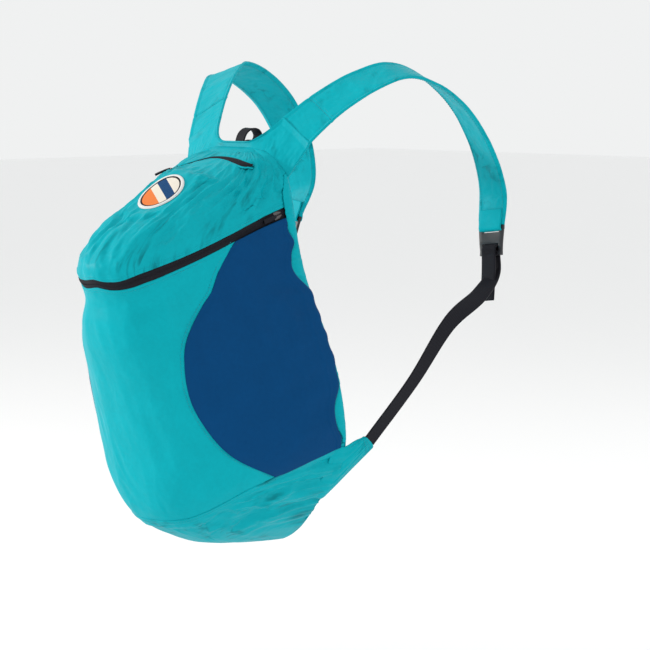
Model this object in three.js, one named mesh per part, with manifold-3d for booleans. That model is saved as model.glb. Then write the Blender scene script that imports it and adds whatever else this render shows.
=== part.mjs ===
// A packable daypack of thin nylon, worn on two shoulder straps, built panel by panel as it is sewn.
// Millimetres. +X is the wearer's right, +Y runs from the bag towards the wearer, +Z is up.
// The origin lies midway between the two places where the straps rest on the shoulders.

import * as THREE from "three";
import { mergeVertices } from "three/addons/utils/BufferGeometryUtils.js";
import Module from "manifold-3d";

// The bag
const bagHeight = 387; // from the top seam to the foot
const bagWidth = 246; // at its widest, across the back
const bagDepth = 197; // at its deepest, just above the main zip
const shoulderDrop = 75; // from the shoulders down to the top seam
const shoulderReach = 104; // from the shoulders back to the top seam
const backLean = 42; // how much nearer the wearer the foot is than the top
const backSwell = 9; // how far the back panel swells towards the wearer
const cloth = 1.5; // wall of the main panels
const seamGap = 0.4; // clearance between pieces that are sewn together

// The main zip, the top pocket's zip and the side edging
const zipWidth = 9;
const zipTape = 1.2;
const slitWidth = 10; // at its widest
const sliderLength = 9;
const sliderWidth = 7;
const sliderHeight = 3.6;
const pullLength = 16;
const pullWidth = 4.5;
const pullThickness = 2;
const edgingWidth = 9;
const edgingCloth = 1.3;

// The side pockets
const pocketCloth = 1.1;
const pocketMargin = 13; // from the back seam to the pocket's open edge
const pocketLift = 9; // how far the open edge stands off the side of the bag

// The round patch on the lid
const patchDiameter = 50;
const patchThickness = 1.5;
const patchDown = 0.1; // its centre, as a share of bagHeight below the top seam

// The shoulder straps
const strapSpread = 244; // between the straps' centres on the shoulders
const strapWidth = 46;
const strapThickness = 3.2;
const chestReach = 118; // from the shoulders forward to the strap's lower end
const chestDrop = 152; // from the shoulders down to the strap's lower end
const yokeReach = 0.13; // share of the strap's line that is cut in one with the yoke
const yokeCorner = 0.07; // the yoke's outer corners, as a share of bagHeight below the top seam
const hemHeight = 6;
const hemThickness = 4.8;

// The webbing, its ladder locks, the corner tabs and the hang loop
const webWidth = 16;
const webThickness = 1.6;
const tabWidth = 19;
const tabThickness = 3.4;
const tabReach = 27; // from the back seam to the tab's end
const flankSpread = 330; // between the two webbings where they pass the wearer's sides
const flankForward = 28; // from the shoulders forward to that place
const flankDrop = 243; // from the shoulders down to that place
const webTail = 46; // how far the webbing's free end hangs below its ladder lock
const lockLength = 30;
const lockWidth = 30;
const lockThickness = 5;
const loopWidth = 12;
const loopThickness = 1.6;
const loopReach = 27; // how far the hang loop stands out from the top seam
const loopOpening = 9; // between the loop's two legs

// Level cuts through the bag, from the top seam to the foot. down, half and deep are shares of bagHeight,
// of half of bagWidth and of bagDepth. square says how boxy the cut is, and 2 is an ellipse.
const sections = [
  { down: 0.0, half: 0.2, deep: 0.01, square: 2.6 },
  { down: 0.01, half: 0.36, deep: 0.1, square: 2.6 },
  { down: 0.031, half: 0.47, deep: 0.21, square: 2.6 },
  { down: 0.065, half: 0.565, deep: 0.365, square: 2.6 },
  { down: 0.108, half: 0.593, deep: 0.548, square: 2.6 },
  { down: 0.158, half: 0.61, deep: 0.746, square: 2.5 },
  { down: 0.22, half: 0.626, deep: 0.914, square: 2.4 },
  { down: 0.284, half: 0.66, deep: 0.995, square: 2.3 },
  { down: 0.336, half: 0.707, deep: 0.962, square: 2.3 },
  { down: 0.37, half: 0.752, deep: 0.945, square: 2.3 },
  { down: 0.42, half: 0.82, deep: 0.963, square: 2.3 },
  { down: 0.48, half: 0.888, deep: 0.949, square: 2.3 },
  { down: 0.568, half: 0.967, deep: 0.898, square: 2.3 },
  { down: 0.66, half: 1.0, deep: 0.863, square: 2.3 },
  { down: 0.736, half: 0.984, deep: 0.84, square: 2.35 },
  { down: 0.8, half: 0.89, deep: 0.828, square: 2.5 },
  { down: 0.85, half: 0.76, deep: 0.81, square: 2.65 },
  { down: 0.89, half: 0.62, deep: 0.785, square: 2.8 },
  { down: 0.93, half: 0.5, deep: 0.735, square: 2.8 },
  { down: 0.962, half: 0.39, deep: 0.65, square: 2.7 },
  { down: 0.985, half: 0.28, deep: 0.5, square: 2.6 },
  { down: 0.997, half: 0.2, deep: 0.28, square: 2.5 },
  { down: 1.0, half: 0.16, deep: 0.01, square: 2.5 },
];

// Seams that run round the bag. turn is in degrees from the right back seam, 90 is the middle of the front,
// and the left side mirrors the right. down is a share of bagHeight.
const zipLine = [
  { turn: 0, down: 0.145 },
  { turn: 12, down: 0.177 },
  { turn: 24, down: 0.215 },
  { turn: 36, down: 0.25 },
  { turn: 48, down: 0.279 },
  { turn: 60, down: 0.301 },
  { turn: 70, down: 0.316 },
  { turn: 80, down: 0.322 },
  { turn: 90, down: 0.317 },
];
const baseLine = [
  { turn: 0, down: 0.725 },
  { turn: 11, down: 0.759 },
  { turn: 20, down: 0.788 },
  { turn: 27, down: 0.812 },
  { turn: 35, down: 0.838 },
  { turn: 43, down: 0.868 },
  { turn: 51, down: 0.889 },
  { turn: 61, down: 0.904 },
  { turn: 78, down: 0.913 },
  { turn: 90, down: 0.915 },
];

// The top pocket's slit, from its right end to its left one. wide is a share of slitWidth.
const slitLine = [
  { turn: 31, down: 0.034, wide: 0.3 },
  { turn: 41, down: 0.032, wide: 0.95 },
  { turn: 56, down: 0.025, wide: 1.0 },
  { turn: 74, down: 0.019, wide: 0.75 },
  { turn: 90, down: 0.018, wide: 0.5 },
  { turn: 98, down: 0.026, wide: 0.34 },
  { turn: 106, down: 0.037, wide: 0.34 },
  { turn: 113, down: 0.046, wide: 0.36 },
  { turn: 118, down: 0.057, wide: 0.34 },
  { turn: 121, down: 0.069, wide: 0.28 },
];

// The pocket's curved front seam, from the zip to the base.
const pocketSeam = [
  { turn: 21, down: 0.235 },
  { turn: 29, down: 0.3 },
  { turn: 42, down: 0.39 },
  { turn: 52, down: 0.485 },
  { turn: 56.5, down: 0.575 },
  { turn: 54, down: 0.655 },
  { turn: 44, down: 0.738 },
  { turn: 23, down: 0.8 },
];

// How far the pocket's open edge stands off, down its length, as shares of pocketLift.
const pocketMouth = [0.05, 0.35, 0.3, 0.6, 0.8, 0.9, 1.0, 0.75, 0.35, 0.3, 0.05];

// Soft folds pressed into the panels. Each runs from one place on the bag to another. wide and rise are
// millimetres, and a negative rise is a valley.
const folds = [
  { turn: 56, down: 0.155, toTurn: 62, toDown: 0.285, wide: 9, rise: -4.5 },
  { turn: 47, down: 0.16, toTurn: 50, toDown: 0.265, wide: 8, rise: 2.5 },
  { turn: 84, down: 0.165, toTurn: 80, toDown: 0.3, wide: 8, rise: -3 },
  { turn: 98, down: 0.15, toTurn: 100, toDown: 0.3, wide: 10, rise: -4 },
  { turn: 112, down: 0.15, toTurn: 118, toDown: 0.29, wide: 9, rise: 3 },
  { turn: 128, down: 0.14, toTurn: 134, toDown: 0.26, wide: 8, rise: -3.5 },
  { turn: 14, down: 0.08, toTurn: 12, toDown: 0.15, wide: 7, rise: -2.5 },
  { turn: 166, down: 0.08, toTurn: 168, toDown: 0.15, wide: 7, rise: -2.5 },
  { turn: 4, down: 0.775, toTurn: 40, toDown: 0.9, wide: 8, rise: -3.5 },
  { turn: 6, down: 0.83, toTurn: 38, toDown: 0.945, wide: 8, rise: -3 },
  { turn: 176, down: 0.775, toTurn: 140, toDown: 0.9, wide: 8, rise: -3.5 },
  { turn: 174, down: 0.83, toTurn: 142, toDown: 0.945, wide: 8, rise: -3 },
];

// The right strap's middle line. out is a share of half of strapSpread. Behind the shoulders back and drop
// are shares of shoulderReach and shoulderDrop, and in front they are shares of chestReach and chestDrop.
// sweep and lean turn the strap's outer edge back and down. wide is a share of strapWidth.
const strapBehind = [
  { out: 0.42, back: 0.985, drop: 1.04, sweep: 0.0, lean: 0.5, wide: 1.16 },
  { out: 0.52, back: 0.84, drop: 0.8, sweep: -0.05, lean: 0.5, wide: 1.06 },
  { out: 0.69, back: 0.56, drop: 0.4, sweep: -0.15, lean: 0.45, wide: 1.0 },
  { out: 0.86, back: 0.27, drop: 0.11, sweep: -0.22, lean: 0.38, wide: 1.0 },
  { out: 1.0, back: 0.0, drop: -0.022, sweep: -0.28, lean: 0.32, wide: 1.0 },
];
const strapAhead = [
  { out: 1.05, ahead: 0.3, drop: 0.05, sweep: -0.3, lean: 0.25, wide: 1.0 },
  { out: 1.08, ahead: 0.62, drop: 0.22, sweep: -0.3, lean: 0.18, wide: 0.98 },
  { out: 1.11, ahead: 0.87, drop: 0.49, sweep: -0.25, lean: 0.1, wide: 0.94 },
  { out: 1.14, ahead: 0.98, drop: 0.77, sweep: -0.1, lean: 0.1, wide: 0.85 },
  { out: 1.18, ahead: 0.93, drop: 1.0, sweep: 0.1, lean: 0.15, wide: 0.65 },
];

const degrees = Math.PI / 180;
const halfTurn = 180;
const material = (color, roughness, metalness = 0) => new THREE.MeshStandardMaterial({ color, roughness, metalness });
const turquoise = material(0x12b4bf, 0.6);
const navy = material(0x0b467c, 0.62);
const blackTape = material(0x1c1c22, 0.7);
const blackPlastic = material(0x17181b, 0.45);
const nickel = material(0xb9b4b2, 0.3, 1);
const patchThread = material(0xe9e2d2, 0.8);

const wasm = await Module();
wasm.setup();

// Smooth values

// A smooth curve through evenly counted values, read at share from 0 to 1.
function smoothThrough(values, share) {
  const last = values.length - 1;
  const place = Math.min(Math.max(share, 0), 1) * last;
  const i = Math.min(last - 1, Math.floor(place));
  const f = place - i;
  const b = values[i];
  const c = values[i + 1];
  const a = i > 0 ? values[i - 1] : 2 * b - c;
  const d = i < last - 1 ? values[i + 2] : 2 * c - b;
  return 0.5 * (2 * b + (c - a) * f + (2 * a - 5 * b + 4 * c - d) * f * f + (3 * b - a - 3 * c + d) * f ** 3);
}

const column = (table, name) => table.map((row) => row[name]);
const sectionColumn = Object.fromEntries(["down", "half", "deep", "square"].map((name) => [name, column(sections, name)]));

// The share of the way through the sections at which the bag is this far down.
function levelOf(down) {
  let low = 0;
  let high = 1;
  for (let step = 0; step < 40; step++) {
    const middle = (low + high) / 2;
    if (smoothThrough(sectionColumn.down, middle) < down) low = middle;
    else high = middle;
  }
  return (low + high) / 2;
}

// A seam's height at a turn round the bag, mirrored past the middle of the front.
function seamDown(line, turn) {
  const near = Math.min(turn, halfTurn - turn);
  const i = Math.min(line.length - 2, Math.max(0, line.findIndex((row) => row.turn > near) - 1));
  const from = line.findIndex((row) => row.turn > near) < 0 ? line.length - 2 : i;
  const share = (near - line[from].turn) / (line[from + 1].turn - line[from].turn);
  return smoothThrough(column(line, "down"), (from + share) / (line.length - 1));
}

// The bag's skin

const backAt = (down) => -shoulderReach + backLean * down;
const heightAt = (down) => -shoulderDrop - bagHeight * down;

// A point of the plain skin. turn is in degrees, level is a share of the way through the sections.
function plainSkin(turn, level) {
  const read = (name) => smoothThrough(sectionColumn[name], level);
  const power = 2 / read("square");
  const across = Math.cos(turn * degrees);
  const forward = Math.sin(turn * degrees);
  const down = read("down");
  const x = (read("half") * bagWidth * 0.5) * Math.sign(across) * Math.abs(across) ** power;
  const y = backAt(down) - read("deep") * bagDepth * Math.abs(forward) ** power;
  return new THREE.Vector3(x, y, heightAt(down));
}

function outwardOf(skin, turn, level) {
  const step = 0.002;
  const turnStep = step * halfTurn;
  const right = Math.max(turn - turnStep, 0);
  const left = Math.min(turn + turnStep, halfTurn);
  const above = Math.max(level - step, 0);
  const below = Math.min(level + step, 1);
  const round = skin(left, level).sub(skin(right, level));
  const downwards = skin(turn, below).sub(skin(turn, above));
  return round.cross(downwards).normalize();
}

// How far the folds lift the skin at a point.
function foldRise(point) {
  let rise = 0;
  for (const fold of foldLines) {
    const along = fold.line.closestPointToPointParameter(point, true);
    const away = fold.line.at(along, new THREE.Vector3()).distanceTo(point);
    rise += fold.rise * Math.exp(-((away / fold.wide) ** 2)) * Math.sin(Math.PI * (0.12 + 0.76 * along));
  }
  return rise;
}

const foldLines = folds.map(({ turn, down, toTurn, toDown, wide, rise }) => ({
  line: new THREE.Line3(plainSkin(turn, levelOf(down)), plainSkin(toTurn, levelOf(toDown))),
  wide,
  rise,
}));

function skin(turn, level) {
  const point = plainSkin(turn, level);
  const rise = foldRise(point);
  return Math.abs(rise) > 0.05 ? point.addScaledVector(outwardOf(plainSkin, turn, level), rise) : point;
}

// Closed walls from grids

// Joins an outer and an inner grid of points into one closed wall.
function closedWall(outer, inner) {
  const rows = outer.length;
  const columns = outer[0].length;
  const positions = [...outer.flat(), ...inner.flat()].flatMap((p) => [p.x, p.y, p.z]);
  const outerAt = (i, j) => i * columns + j;
  const innerAt = (i, j) => rows * columns + i * columns + j;
  const faces = [];
  const quad = (a, b, c, d) => faces.push(a, b, c, a, c, d);
  for (let i = 0; i < rows - 1; i++)
    for (let j = 0; j < columns - 1; j++) {
      quad(outerAt(i, j), outerAt(i, j + 1), outerAt(i + 1, j + 1), outerAt(i + 1, j));
      quad(innerAt(i, j), innerAt(i + 1, j), innerAt(i + 1, j + 1), innerAt(i, j + 1));
    }
  for (let i = 0; i < rows - 1; i++) {
    quad(outerAt(i, 0), outerAt(i + 1, 0), innerAt(i + 1, 0), innerAt(i, 0));
    quad(outerAt(i, columns - 1), innerAt(i, columns - 1), innerAt(i + 1, columns - 1), outerAt(i + 1, columns - 1));
  }
  for (let j = 0; j < columns - 1; j++) {
    quad(outerAt(0, j), innerAt(0, j), innerAt(0, j + 1), outerAt(0, j + 1));
    quad(outerAt(rows - 1, j), outerAt(rows - 1, j + 1), innerAt(rows - 1, j + 1), innerAt(rows - 1, j));
  }
  const geometry = new THREE.BufferGeometry();
  geometry.setAttribute("position", new THREE.Float32BufferAttribute(positions, 3));
  geometry.setIndex(faces);
  return geometry;
}

// Thickens a grid of points both ways along its own normals.
function thickened(grid, halfThicknessAt) {
  const rows = grid.length;
  const columns = grid[0].length;
  const side = (sign) =>
    grid.map((row, i) =>
      row.map((point, j) => {
        const downwards = grid[Math.min(i + 1, rows - 1)][j].clone().sub(grid[Math.max(i - 1, 0)][j]);
        const across = row[Math.min(j + 1, columns - 1)].clone().sub(row[Math.max(j - 1, 0)]);
        const outward = across.cross(downwards).normalize();
        return point.clone().addScaledVector(outward, sign * halfThicknessAt(i, j));
      }),
    );
  return closedWall(side(1), side(-1));
}

const counted = (count, make) => Array.from({ length: count + 1 }, (_, i) => make(i / count));

// A panel of the skin between four seams, each a function from 0 to 1 giving [turn, level]. top and foot run
// from the right seam to the left one, right and left run from the top down.
function panel({ top, foot, right, left, rows, columns, face = () => 0, thickness = cloth }) {
  const place = (a, b) => {
    const blend = (k) =>
      (1 - b) * top(a)[k] + b * foot(a)[k] + (1 - a) * right(b)[k] + a * left(b)[k] -
      (1 - a) * (1 - b) * top(0)[k] - a * (1 - b) * top(1)[k] - (1 - a) * b * foot(0)[k] - a * b * foot(1)[k];
    return [blend(0), blend(1)];
  };
  const layer = (depth) =>
    counted(rows, (b) =>
      counted(columns, (a) => {
        const [turn, level] = place(a, b);
        return skin(turn, level).addScaledVector(outwardOf(skin, turn, level), face(a, b) - depth);
      }),
    );
  return closedWall(layer(0), layer(thickness));
}

function mirrored(geometry) {
  const copy = geometry.clone().scale(-1, 1, 1);
  const index = [...copy.index.array];
  for (let i = 0; i < index.length; i += 3) [index[i + 1], index[i + 2]] = [index[i + 2], index[i + 1]];
  copy.setIndex(index);
  return copy;
}

// Solids for cutting and joining

function solidFrom(geometry) {
  const bare = geometry.clone();
  for (const name of Object.keys(bare.attributes)) if (name !== "position") bare.deleteAttribute(name);
  const merged = mergeVertices(bare, 1e-4);
  return new wasm.Manifold(
    new wasm.Mesh({ numProp: 3, vertProperties: merged.attributes.position.array, triVerts: new Uint32Array(merged.index.array) }),
  );
}

function geometryFrom(solid) {
  const mesh = solid.getMesh();
  const geometry = new THREE.BufferGeometry();
  geometry.setAttribute("position", new THREE.BufferAttribute(mesh.vertProperties, 3));
  geometry.setIndex(new THREE.BufferAttribute(mesh.triVerts, 1));
  return geometry;
}

// Seams shared by neighbouring panels

const middleTurn = halfTurn / 2;

// The level that lies a distance down the skin from another one.
function levelAway(turn, level, distance) {
  const step = 0.002;
  const above = plainSkin(turn, Math.max(level - step, 0));
  const below = plainSkin(turn, Math.min(level + step, 1));
  return level + (2 * step * distance) / above.distanceTo(below);
}

// The level at a distance below the zip's middle line, measured square to the line as it climbs.
function besideZip(turn, distance) {
  const step = 2;
  const at = (near) => plainSkin(near, levelOf(seamDown(zipLine, near)));
  const along = at(Math.min(halfTurn, turn + step)).sub(at(Math.max(0, turn - step)));
  const climb = Math.abs(along.z) / Math.hypot(along.x, along.y);
  return levelAway(turn, levelOf(seamDown(zipLine, turn)), distance * Math.hypot(1, climb));
}

const zipTop = (turn) => besideZip(turn, -zipWidth / 2);
const zipFoot = (turn) => besideZip(turn, zipWidth / 2);
const overZip = (turn) => besideZip(turn, -zipWidth / 2 - 2 * seamGap);
const underZip = (turn) => besideZip(turn, zipWidth / 2 + 2 * seamGap);
const baseTop = (turn) => levelOf(seamDown(baseLine, turn));
const overBase = (turn) => levelAway(turn, baseTop(turn), -2 * seamGap);

// The pocket's front seam at a share of its length. Its ends lie on the zip and on the base seam.
function pocketSeamAt(share, shift = 0) {
  const turn = smoothThrough(column(pocketSeam, "turn"), share) + shift;
  const levels = pocketSeam.map((row) => levelOf(row.down));
  levels[0] = underZip(pocketSeam[0].turn);
  levels[levels.length - 1] = overBase(pocketSeam.at(-1).turn);
  return [turn, smoothThrough(levels, share)];
}

// The turn at which the skin lies this far forward of the back seam.
function turnAt(level, forward) {
  const deep = smoothThrough(sectionColumn.deep, level) * bagDepth;
  const square = smoothThrough(sectionColumn.square, level);
  return Math.asin(Math.min(1, (forward / deep) ** (square / 2))) / degrees;
}

const seamTurnGap = 0.36; // clearance, in degrees, between the front panel and the side panels
const seamRows = 14; // rows of the panels that share the pocket's seam

// Panels

function lidPanel() {
  const whole = solidFrom(
    panel({
      top: (a) => [a * halfTurn, 0],
      foot: (a) => [a * halfTurn, overZip(a * halfTurn)],
      right: (b) => [0, b * overZip(0)],
      left: (b) => [halfTurn, b * overZip(halfTurn)],
      rows: 9,
      columns: 30,
    }),
  );
  return geometryFrom(whole.subtract(solidFrom(slitStrip(0, cloth, -2 * cloth))));
}

// A strip along the top pocket's slit, narrowed at both sides, from one height over the skin to another.
function slitStrip(narrowed, over, under) {
  const trim = narrowed / 60;
  const read = (name, a) => smoothThrough(column(slitLine, name), trim + a * (1 - 2 * trim));
  const edge = (side) => (a) => {
    const turn = read("turn", a);
    const half = Math.max(slitWidth * 0.5 * read("wide", a) - narrowed, 0.2);
    return [turn, levelAway(turn, levelOf(read("down", a)), side * half)];
  };
  const top = edge(-1);
  const foot = edge(1);
  return panel({
    top,
    foot,
    right: (b) => [top(0)[0], top(0)[1] + b * (foot(0)[1] - top(0)[1])],
    left: (b) => [top(1)[0], top(1)[1] + b * (foot(1)[1] - top(1)[1])],
    rows: 1,
    columns: 22,
    face: () => over,
    thickness: over - under,
  });
}

const topZip = () => slitStrip(2.5 * seamGap, -0.3, -0.3 - zipTape);

function mainZip() {
  return panel({
    top: (a) => [a * halfTurn, zipTop(a * halfTurn)],
    foot: (a) => [a * halfTurn, zipFoot(a * halfTurn)],
    right: (b) => [0, zipTop(0) + b * (zipFoot(0) - zipTop(0))],
    left: (b) => [halfTurn, zipTop(halfTurn) + b * (zipFoot(halfTurn) - zipTop(halfTurn))],
    rows: 1,
    columns: 44,
    face: () => -0.2,
    thickness: zipTape,
  });
}

function frontPanel() {
  const start = pocketSeam[0].turn + seamTurnGap;
  const end = pocketSeam.at(-1).turn + seamTurnGap;
  return panel({
    top: (a) => [start + a * (halfTurn - 2 * start), underZip(start + a * (halfTurn - 2 * start))],
    foot: (a) => [end + a * (halfTurn - 2 * end), overBase(end + a * (halfTurn - 2 * end))],
    right: (b) => pocketSeamAt(b, seamTurnGap),
    left: (b) => [halfTurn - pocketSeamAt(b, seamTurnGap)[0], pocketSeamAt(b)[1]],
    rows: seamRows,
    columns: 20,
  });
}

function sidePanel() {
  const start = pocketSeam[0].turn;
  const end = pocketSeam.at(-1).turn;
  return panel({
    top: (a) => [a * start, underZip(a * start)],
    foot: (a) => [a * end, overBase(a * end)],
    right: (b) => [0, underZip(0) + b * (overBase(0) - underZip(0))],
    left: (b) => pocketSeamAt(b),
    rows: seamRows,
    columns: 6,
  });
}

// The pocket lies on the side panel, sewn along three sides and open along the fourth, at the back.
function sidePocket() {
  const start = pocketSeam[0].turn;
  const end = pocketSeam.at(-1).turn;
  const topTurn = turnAt(underZip(0), pocketMargin);
  const footTurn = turnAt(overBase(0), pocketMargin);
  const mouth = (b) => {
    const level = underZip(topTurn) + b * (overBase(footTurn) - underZip(topTurn));
    return [turnAt(level, pocketMargin), level];
  };
  const along = (from, to, a) => from + a * (to - from);
  return panel({
    top: (a) => [along(mouth(0)[0], start, a), underZip(along(mouth(0)[0], start, a))],
    foot: (a) => [along(mouth(1)[0], end, a), overBase(along(mouth(1)[0], end, a))],
    right: mouth,
    left: (b) => pocketSeamAt(b),
    rows: seamRows,
    columns: 8,
    face: (a, b) => 2 * seamGap + pocketCloth + pocketLift * smoothThrough(pocketMouth, b) * (1 - a) ** 2.2,
    thickness: pocketCloth,
  });
}

function basePanel() {
  return panel({
    top: (a) => [a * halfTurn, baseTop(a * halfTurn)],
    foot: (a) => [a * halfTurn, 1],
    right: (b) => [0, baseTop(0) + b * (1 - baseTop(0))],
    left: (b) => [halfTurn, baseTop(halfTurn) + b * (1 - baseTop(halfTurn))],
    rows: 8,
    columns: 26,
  });
}

// The narrow edging that wraps each back seam, from the top corner to the base.
const edgingTop = 0.085;

function edging() {
  const wave = (b) => 0.8 + 0.35 * Math.sin(19 * b) * Math.sin(7 * b);
  const from = levelOf(edgingTop);
  const front = (b) => {
    const level = from + b * (overBase(0) - from);
    return [turnAt(level, edgingWidth * wave(b)), level];
  };
  return panel({
    top: (a) => [a * front(0)[0], from],
    foot: (a) => [a * front(1)[0], overBase(0)],
    right: (b) => [0, front(b)[1]],
    left: front,
    rows: 30,
    columns: 2,
    face: (a, b) => 2 * seamGap + edgingCloth * (1 + 0.92 * Math.sin(Math.PI * a) * wave(b)),
    thickness: edgingCloth,
  });
}

function backPanel() {
  const grid = (offset) =>
    counted(14, (b) =>
      counted(8, (a) => {
        const across = 1 - 2 * a;
        const down = smoothThrough(sectionColumn.down, b);
        const half = smoothThrough(sectionColumn.half, b) * bagWidth * 0.5;
        const swell = backSwell * (1 - across ** 2) * Math.sin(Math.PI * down);
        return new THREE.Vector3(across * half, backAt(down) + seamGap + swell + offset, heightAt(down));
      }),
    );
  return closedWall(grid(0), grid(cloth));
}

function roundPatch() {
  const level = levelOf(patchDown);
  const centre = skin(middleTurn, level);
  const outward = outwardOf(plainSkin, middleTurn, level);
  const across = new THREE.Vector3(1, 0, 0);
  const along = outward.clone().cross(across).normalize();
  const radius = patchDiameter / 2;
  const rings = [1, 0.6, 0.25];
  const around = 24;
  // Each point is dropped onto the lid straight down its own slope.
  const onLid = (x, y) => {
    const far = patchDiameter;
    const flat = centre.clone().addScaledVector(across, x).addScaledVector(along, y);
    const ray = new THREE.Ray(flat.clone().addScaledVector(outward, far), outward.clone().negate());
    return lidSurfaceHit(ray) ?? flat;
  };
  const layer = (offset) =>
    rings.map((share) =>
      counted(around, (a) => {
        const angle = -2 * Math.PI * a;
        return onLid(share * radius * Math.cos(angle), share * radius * Math.sin(angle)).addScaledVector(outward, offset);
      }),
    );
  return discWall(layer(seamGap + patchThickness), layer(seamGap), onLid(0, 0), outward);
}

// Where a ray meets the lid's outer face.
let lidFinder = null;
function lidSurfaceHit(ray) {
  if (!lidFinder) {
    const grid = counted(24, (b) => counted(40, (a) => skin(40 + 100 * a, 0.3 * b)));
    lidFinder = new THREE.Mesh(closedWall(grid, grid), new THREE.MeshBasicMaterial({ side: THREE.DoubleSide }));
  }
  const caster = new THREE.Raycaster(ray.origin, ray.direction);
  return caster.intersectObject(lidFinder)[0]?.point.clone();
}

// Closes two stacks of rings, each with a middle point, into a disc.
function discWall(outer, inner, middle, outward) {
  const around = outer[0].length - 1;
  const points = [];
  const add = (p) => points.push(p) - 1;
  const rings = (layer) => layer.map((ring) => ring.slice(0, around).map(add));
  const top = rings(outer);
  const foot = rings(inner);
  const topMiddle = add(middle.clone().addScaledVector(outward, seamGap + patchThickness));
  const footMiddle = add(middle.clone().addScaledVector(outward, seamGap));
  const faces = [];
  const band = (a, b) => {
    for (let i = 0; i < around; i++) {
      const k = (i + 1) % around;
      faces.push(a[i], b[i], b[k], a[i], b[k], a[k]);
    }
  };
  for (let r = 0; r < top.length - 1; r++) {
    band(top[r], top[r + 1]);
    band(foot[r + 1], foot[r]);
  }
  band(foot[0], top[0]);
  for (let i = 0; i < around; i++) {
    const k = (i + 1) % around;
    faces.push(top.at(-1)[i], topMiddle, top.at(-1)[k]);
    faces.push(foot.at(-1)[i], foot.at(-1)[k], footMiddle);
  }
  const geometry = new THREE.BufferGeometry();
  geometry.setAttribute("position", new THREE.Float32BufferAttribute(points.flatMap((p) => [p.x, p.y, p.z]), 3));
  geometry.setIndex(faces);
  return geometry;
}

// Straps and webbing

// A flat band along a smooth line. Each stop has a middle, the direction of its width and a width.
function band(stops, thickness, steps, start = 0, end = 1) {
  const line = new THREE.CatmullRomCurve3(stops.map((stop) => stop.middle));
  const grid = counted(steps, (s) => {
    const share = start + s * (end - start);
    const { middle, aside, width } = bandStop(stops, line, share);
    return [-0.5, -0.17, 0.17, 0.5].map((side) => middle.clone().addScaledVector(aside, side * width));
  });
  return thickened(grid, () => thickness / 2);
}

function bandStop(stops, line, share) {
  const middle = line.getPoint(share);
  const along = line.getTangent(share);
  const read = (pick) => smoothThrough(stops.map(pick), share);
  const aside = new THREE.Vector3(read((s) => s.aside.x), read((s) => s.aside.y), read((s) => s.aside.z));
  aside.addScaledVector(along, -aside.dot(along)).normalize();
  return { middle, aside, along, width: read((s) => s.width) };
}

const strapStop = (x, y, z, { sweep, lean, wide }) => ({
  middle: new THREE.Vector3(x, y, z),
  aside: new THREE.Vector3(1, sweep, -lean).normalize(),
  width: wide * strapWidth,
});
const strapStops = [
  ...strapBehind.map((row) =>
    strapStop((row.out * strapSpread) / 2, -row.back * shoulderReach, -row.drop * shoulderDrop, row),
  ),
  ...strapAhead.map((row) =>
    strapStop((row.out * strapSpread) / 2, row.ahead * chestReach, -row.drop * chestDrop, row),
  ),
];
const strapLine = new THREE.CatmullRomCurve3(strapStops.map((stop) => stop.middle));
const seamShare = (2.5 * seamGap) / strapLine.getLength();

const shoulderStrap = () => band(strapStops, strapThickness, 28, yokeReach + seamShare, 1);

// A place on the arch of the back panel's top edge, lifted clear of it. share runs from the middle of the
// top seam to the yoke's corner.
function archSeat(share) {
  const flat = 0.3;
  const level = levelOf(yokeCorner) * Math.max(0, (share - flat) / (1 - flat));
  const read = (name, at) => smoothThrough(sectionColumn[name], at);
  const edge = (at) => new THREE.Vector2(read("half", at) * bagWidth * 0.5, heightAt(read("down", at)));
  const slope = edge(level + 0.004).sub(edge(Math.max(level - 0.004, 0)));
  const out = share < flat ? new THREE.Vector2(0, 1) : new THREE.Vector2(-slope.y, slope.x).normalize();
  const point = edge(level).addScaledVector(out, 4.5 * seamGap);
  if (share < flat) point.x *= share / flat;
  return new THREE.Vector3(point.x, backAt(read("down", level)), point.y);
}

// The yoke sits along the top seam and carries the first stretch of both straps.
function yoke() {
  const end = bandStop(strapStops, strapLine, yokeReach);
  const across = (side) => end.middle.clone().addScaledVector(end.aside, side * end.width);
  const middle = archSeat(0);
  const hemTop = middle.z + hemHeight;
  const bendFrom = new THREE.Vector3(0.55 * archSeat(0.3).x, middle.y, hemTop);
  const bendOver = new THREE.Vector3(1.25 * archSeat(0.3).x, middle.y, hemTop);
  const bend = new THREE.QuadraticBezierCurve3(bendFrom, bendOver, across(-0.5));
  const right = [
    ...counted(2, (a) => [archSeat(0.16 * a), bendFrom.clone().setX(bendFrom.x * 0.85 * a)]),
    ...counted(5, (a) => [archSeat(0.2 + 0.35 * a), bend.getPoint(a)]),
    ...counted(5, (a) => [archSeat(0.55 + 0.45 * ((a + 0.2) / 1.2)), across(-0.5 + (a + 0.2) / 1.2)]),
  ];
  const flip = (p) => new THREE.Vector3(-p.x, p.y, p.z);
  const columns = [...right.slice(1).reverse(), ...right.map((pair) => pair.map(flip))];
  const rows = 5;
  const grid = counted(rows, (b) => columns.map(([foot, top]) => top.clone().lerp(foot, b)));
  return thickened(grid, (i) => (strapThickness + (hemThickness - strapThickness) * (i / rows) ** 2) / 2);
}

// The corner tab is a cloth triangle sewn to the back seam, with the webbing in its end.
const tabTopDown = 0.736;
const tabFootDown = 0.874;
const webDirection = new THREE.Vector3(0.24, 0.54, 0.8).normalize();
const webAside = new THREE.Vector3(-0.2, 0.8, -0.56).normalize();

function seamPoint(down) {
  const half = smoothThrough(sectionColumn.half, levelOf(down)) * bagWidth * 0.5;
  return new THREE.Vector3(half - tabThickness / 2, backAt(down) + 3.5 * seamGap + cloth, heightAt(down));
}

const tabTip = seamPoint(tabTopDown).add(new THREE.Vector3(0.28, 0.95, 0.14).multiplyScalar(tabReach));

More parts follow.
